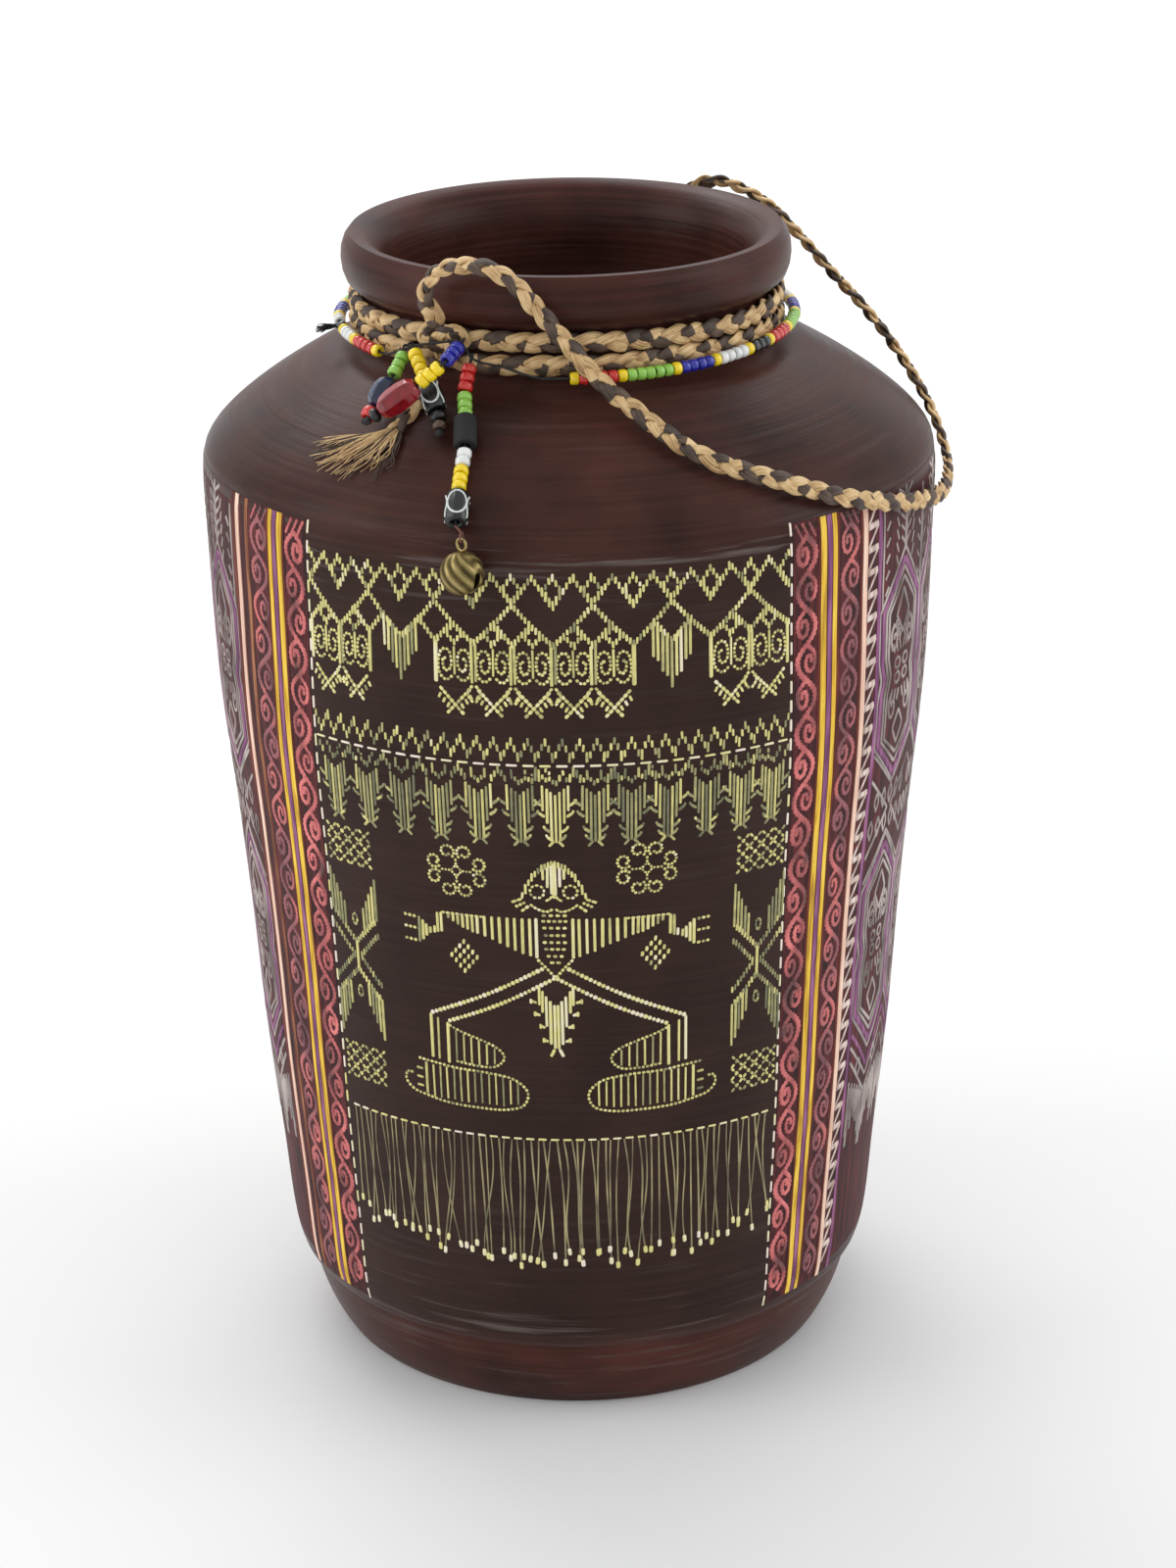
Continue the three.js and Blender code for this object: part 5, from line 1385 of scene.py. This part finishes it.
gem_profile = mirror_ended([(0.30, 0.9), (0.52, 0.98), (0.86, 0.70), (1.0, 0.28)])
gem_shape = cut_shape("cut_glass", gem_profile, 7, 0.07)
for name, node, slot, deep, highlight_colour in (
    ("blue_cut_glass", "blue_glass_bead", "blue_glass", (0.0015, 0.005, 0.028), (0.006, 0.018, 0.075)),
    ("red_cut_glass", "red_glass_bead", "red_glass", (0.15, 0.0015, 0.005), (0.34, 0.008, 0.018)),
):
    gem = strung(name, beads_on(node), gem_shape, "R", clear_glass(name, deep, highlight_colour), node, [node], slot)
    for polygon in gem.data.polygons:
        polygon.use_smooth = polygon.area < 0.8e-6

tube_profile = [
    (0.36, -0.86), (0.42, -0.98), (0.86, -0.99), (0.99, -0.90), (1.0, 0.1), (0.99, 0.90), (0.86, 0.99), (0.42, 0.98),
    (0.36, 0.86),
]
strung(
    "matt_black_tube", beads_on("bell_drop_black_bead"), cut_shape("matt_tube", tube_profile, 18, 0.02), "K",
    glass_finish("matt_black", 0.7, 0), "bell_drop_black_bead", ["bell_drop_black_bead"], "horn",
)

horn_profile = mirror_ended([(0.32, 0.88), (0.44, 0.98), (0.78, 0.94), (0.93, 0.55), (0.99, 0.0)])
horn_shape = cut_shape("horn_barrel", horn_profile, 9, 0.05)
inlay, tree, shader = new_finish("white_inlay")
stain = noise(tree, wired(tree, "TexCoord", "Object"), 700)
feed(shader, {"Base Color": shades(tree, stain, (0, (0.42, 0.47, 0.44)), (1, (0.80, 0.83, 0.80))), "Roughness": 0.45})
oval = np.array([(0.78 * math.sin(a), 0, 0.02 + 0.72 * math.cos(a)) for a in np.linspace(0, 2 * math.pi, 29)])
tail = ((1.25, 0.62), (0.95, 0.30), (0.82, -0.05), (0.93, -0.35), (1.18, -0.78))
tails = [flowing_line([(s * u, 0, z) for u, z in tail], 0.08) for s in (-1, 1)]
for name, node in (("large_horn_barrel", "bell_drop_carved_bead"), ("small_horn_barrel", "horn_drop_carved_bead")):
    (bead,) = beads_on(node)
    strung(name, [bead], horn_shape, "K", horn_glass, node, [node], "horn")
    middle, axis, half_length, radius = bead
    axis = axis if axis[2] > 0 else -axis
    front = facing(axis)
    side = np.cross(front, axis)
    loops = []
    for turn in (0, math.pi):
        for places in (oval, *tails):
            angle, share = places[:, 0] + turn, places[:, 2]
            at = np.interp(np.abs(share), (0, 0.55, 0.94), (0.99, 0.93, 0.78)) * radius * 0.985
            away = np.outer(np.cos(angle), front) + np.outer(np.sin(angle), side)
            line = middle + np.outer(share * half_length, axis) + at[:, None] * away
            loops.append(swept(line, away, 0.30 * MM, 0.22 * MM, 6))
    new_piece(f"{name}_inlay", *joined(loops), [inlay], "white_beads", node)

# Bell: a cast brass crotal with swirling ribs, a slot across its underside and a ring on top, gone dark in its
# hollows. A pellet rolls inside.
BELL_CENTRE = np.array([-27.231, -103.063, 257.041]) * MM
BELL_RADIUS = 5.7 * MM
BELL_WALL = 0.8 * MM
BELL_SLIT = 2.1 * MM
BELL_SLIT_TURN = math.radians(48)
BELL_RIBS = 9
BELL_RING_HEIGHT = 264.491 * MM
BELL_RIB_DEPTH = 0.34 * MM
BELL_RIB_SWIRL = 0.95
BELL_RIB_REACH = 1.38
BELL_AROUND = 72
BELL_SLIT_RIM = 19
BELL_SLIT_END = 0.18
BELL_RING_RADIUS = 1.55 * MM
BELL_RING_THICKNESS = 0.36 * MM
brass, tree, shader = new_finish("old_brass")
tarnish = noise(tree, wired(tree, "TexCoord", "Object"), 420, 5)
hollow = wired(tree, "Attribute", "Fac", attribute_name="hollow")
dulled = wired(tree, "Math", "Value", {0: tarnish, 1: 0.5, 2: hollow}, operation="MULTIPLY_ADD")
feed(shader, {
    "Base Color": shades(
        tree, dulled, (0.25, (0.40, 0.31, 0.13)), (0.55, (0.20, 0.15, 0.058)), (0.95, (0.045, 0.032, 0.014)),
    ),
    "Roughness": wired(tree, "MapRange", "Result", {"Value": dulled, "To Min": 0.30, "To Max": 0.62}), "Metallic": 1,
})

slit_half = math.asin(BELL_SLIT / 2 / BELL_RADIUS)
rows = np.concatenate([
    np.linspace(-math.pi / 2, -slit_half, BELL_SLIT_RIM), np.linspace(slit_half, math.pi / 2, BELL_SLIT_RIM),
])
slot_normal = np.array([math.cos(BELL_SLIT_TURN), math.sin(BELL_SLIT_TURN), 0])
slot_along = np.array([-math.sin(BELL_SLIT_TURN), math.cos(BELL_SLIT_TURN), 0])
shell, shell_hollow = [], []
for inner in (False, True):
    for row in rows:
        for k in range(BELL_AROUND):
            a = k / BELL_AROUND * 2 * math.pi
            way = slot_along * math.sin(a) + np.array([0, 0, 1]) * math.cos(a)
            way = slot_normal * math.sin(row) + way * math.cos(row)
            turn = math.atan2(way[1], way[0])
            tilt_up = math.asin(max(-1, min(1, way[2])))
            rib = 0.5 + 0.5 * math.cos(BELL_RIBS * (turn + BELL_RIB_SWIRL * tilt_up))
            strength = max(0.0, 1 - (abs(tilt_up) / BELL_RIB_REACH) ** 6)
            depth = BELL_WALL if inner else BELL_RIB_DEPTH * (1 - rib**0.7) * strength
            shell.append(BELL_CENTRE + way * (BELL_RADIUS - depth))
            shell_hollow.append(0.75 if inner else (1 - rib) * strength * 0.62)
faces = []
for inner in (0, 1):
    first = inner * len(rows) * BELL_AROUND
    for r in range(len(rows) - 1):
        for k in range(BELL_AROUND):
            if r == BELL_SLIT_RIM - 1 and math.cos((k + 0.5) / BELL_AROUND * 2 * math.pi) < BELL_SLIT_END:
                continue
            a, b = first + r * BELL_AROUND + k, first + r * BELL_AROUND + (k + 1) % BELL_AROUND
            face = (a, b, b + BELL_AROUND, a + BELL_AROUND)
            faces.append(face[::-1] if inner else face)
    for row in (0, len(rows) - 1):
        cap = [first + row * BELL_AROUND + k for k in range(BELL_AROUND)]
        faces.append(cap[::-1] if (row == 0) != inner else cap)
bell = new_piece("brass_crotal", shell, faces, [brass], "brass", "bell", ["bell"])
bm = bmesh.new()
bm.from_mesh(bell.data)
bmesh.ops.bridge_loops(bm, edges=[edge for edge in bm.edges if edge.is_boundary])
bmesh.ops.remove_doubles(bm, verts=bm.verts, dist=1e-6)
bmesh.ops.recalc_face_normals(bm, faces=bm.faces)
bm.to_mesh(bell.data)
bm.free()
bell.data.polygons.foreach_set("use_smooth", [True] * len(bell.data.polygons))
shell = np.array(shell)
nearest = [int(np.argmin(np.sum((shell - np.array(v.co)) ** 2, axis=1))) for v in bell.data.vertices]
hollows = bell.data.attributes.new("hollow", "FLOAT", "POINT")
hollows.data.foreach_set("value", np.array(shell_hollow)[nearest])
bpy.ops.object.select_all(action="DESELECT")
bpy.ops.mesh.primitive_torus_add(
    location=(BELL_CENTRE[0], BELL_CENTRE[1], BELL_RING_HEIGHT),
    rotation=(math.pi / 2, 0, BELL_SLIT_TURN - math.pi / 2),
    major_radius=BELL_RING_RADIUS, minor_radius=BELL_RING_THICKNESS, major_segments=28, minor_segments=12,
)
ring = bpy.context.object
ring.name = "bell_ring"
bpy.ops.object.transform_apply(location=True, rotation=True, scale=True)
bpy.ops.object.shade_smooth()
ring.data.materials.append(brass)
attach(ring, "bell")
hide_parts("bell")
refinished("bell_pellet", brass)
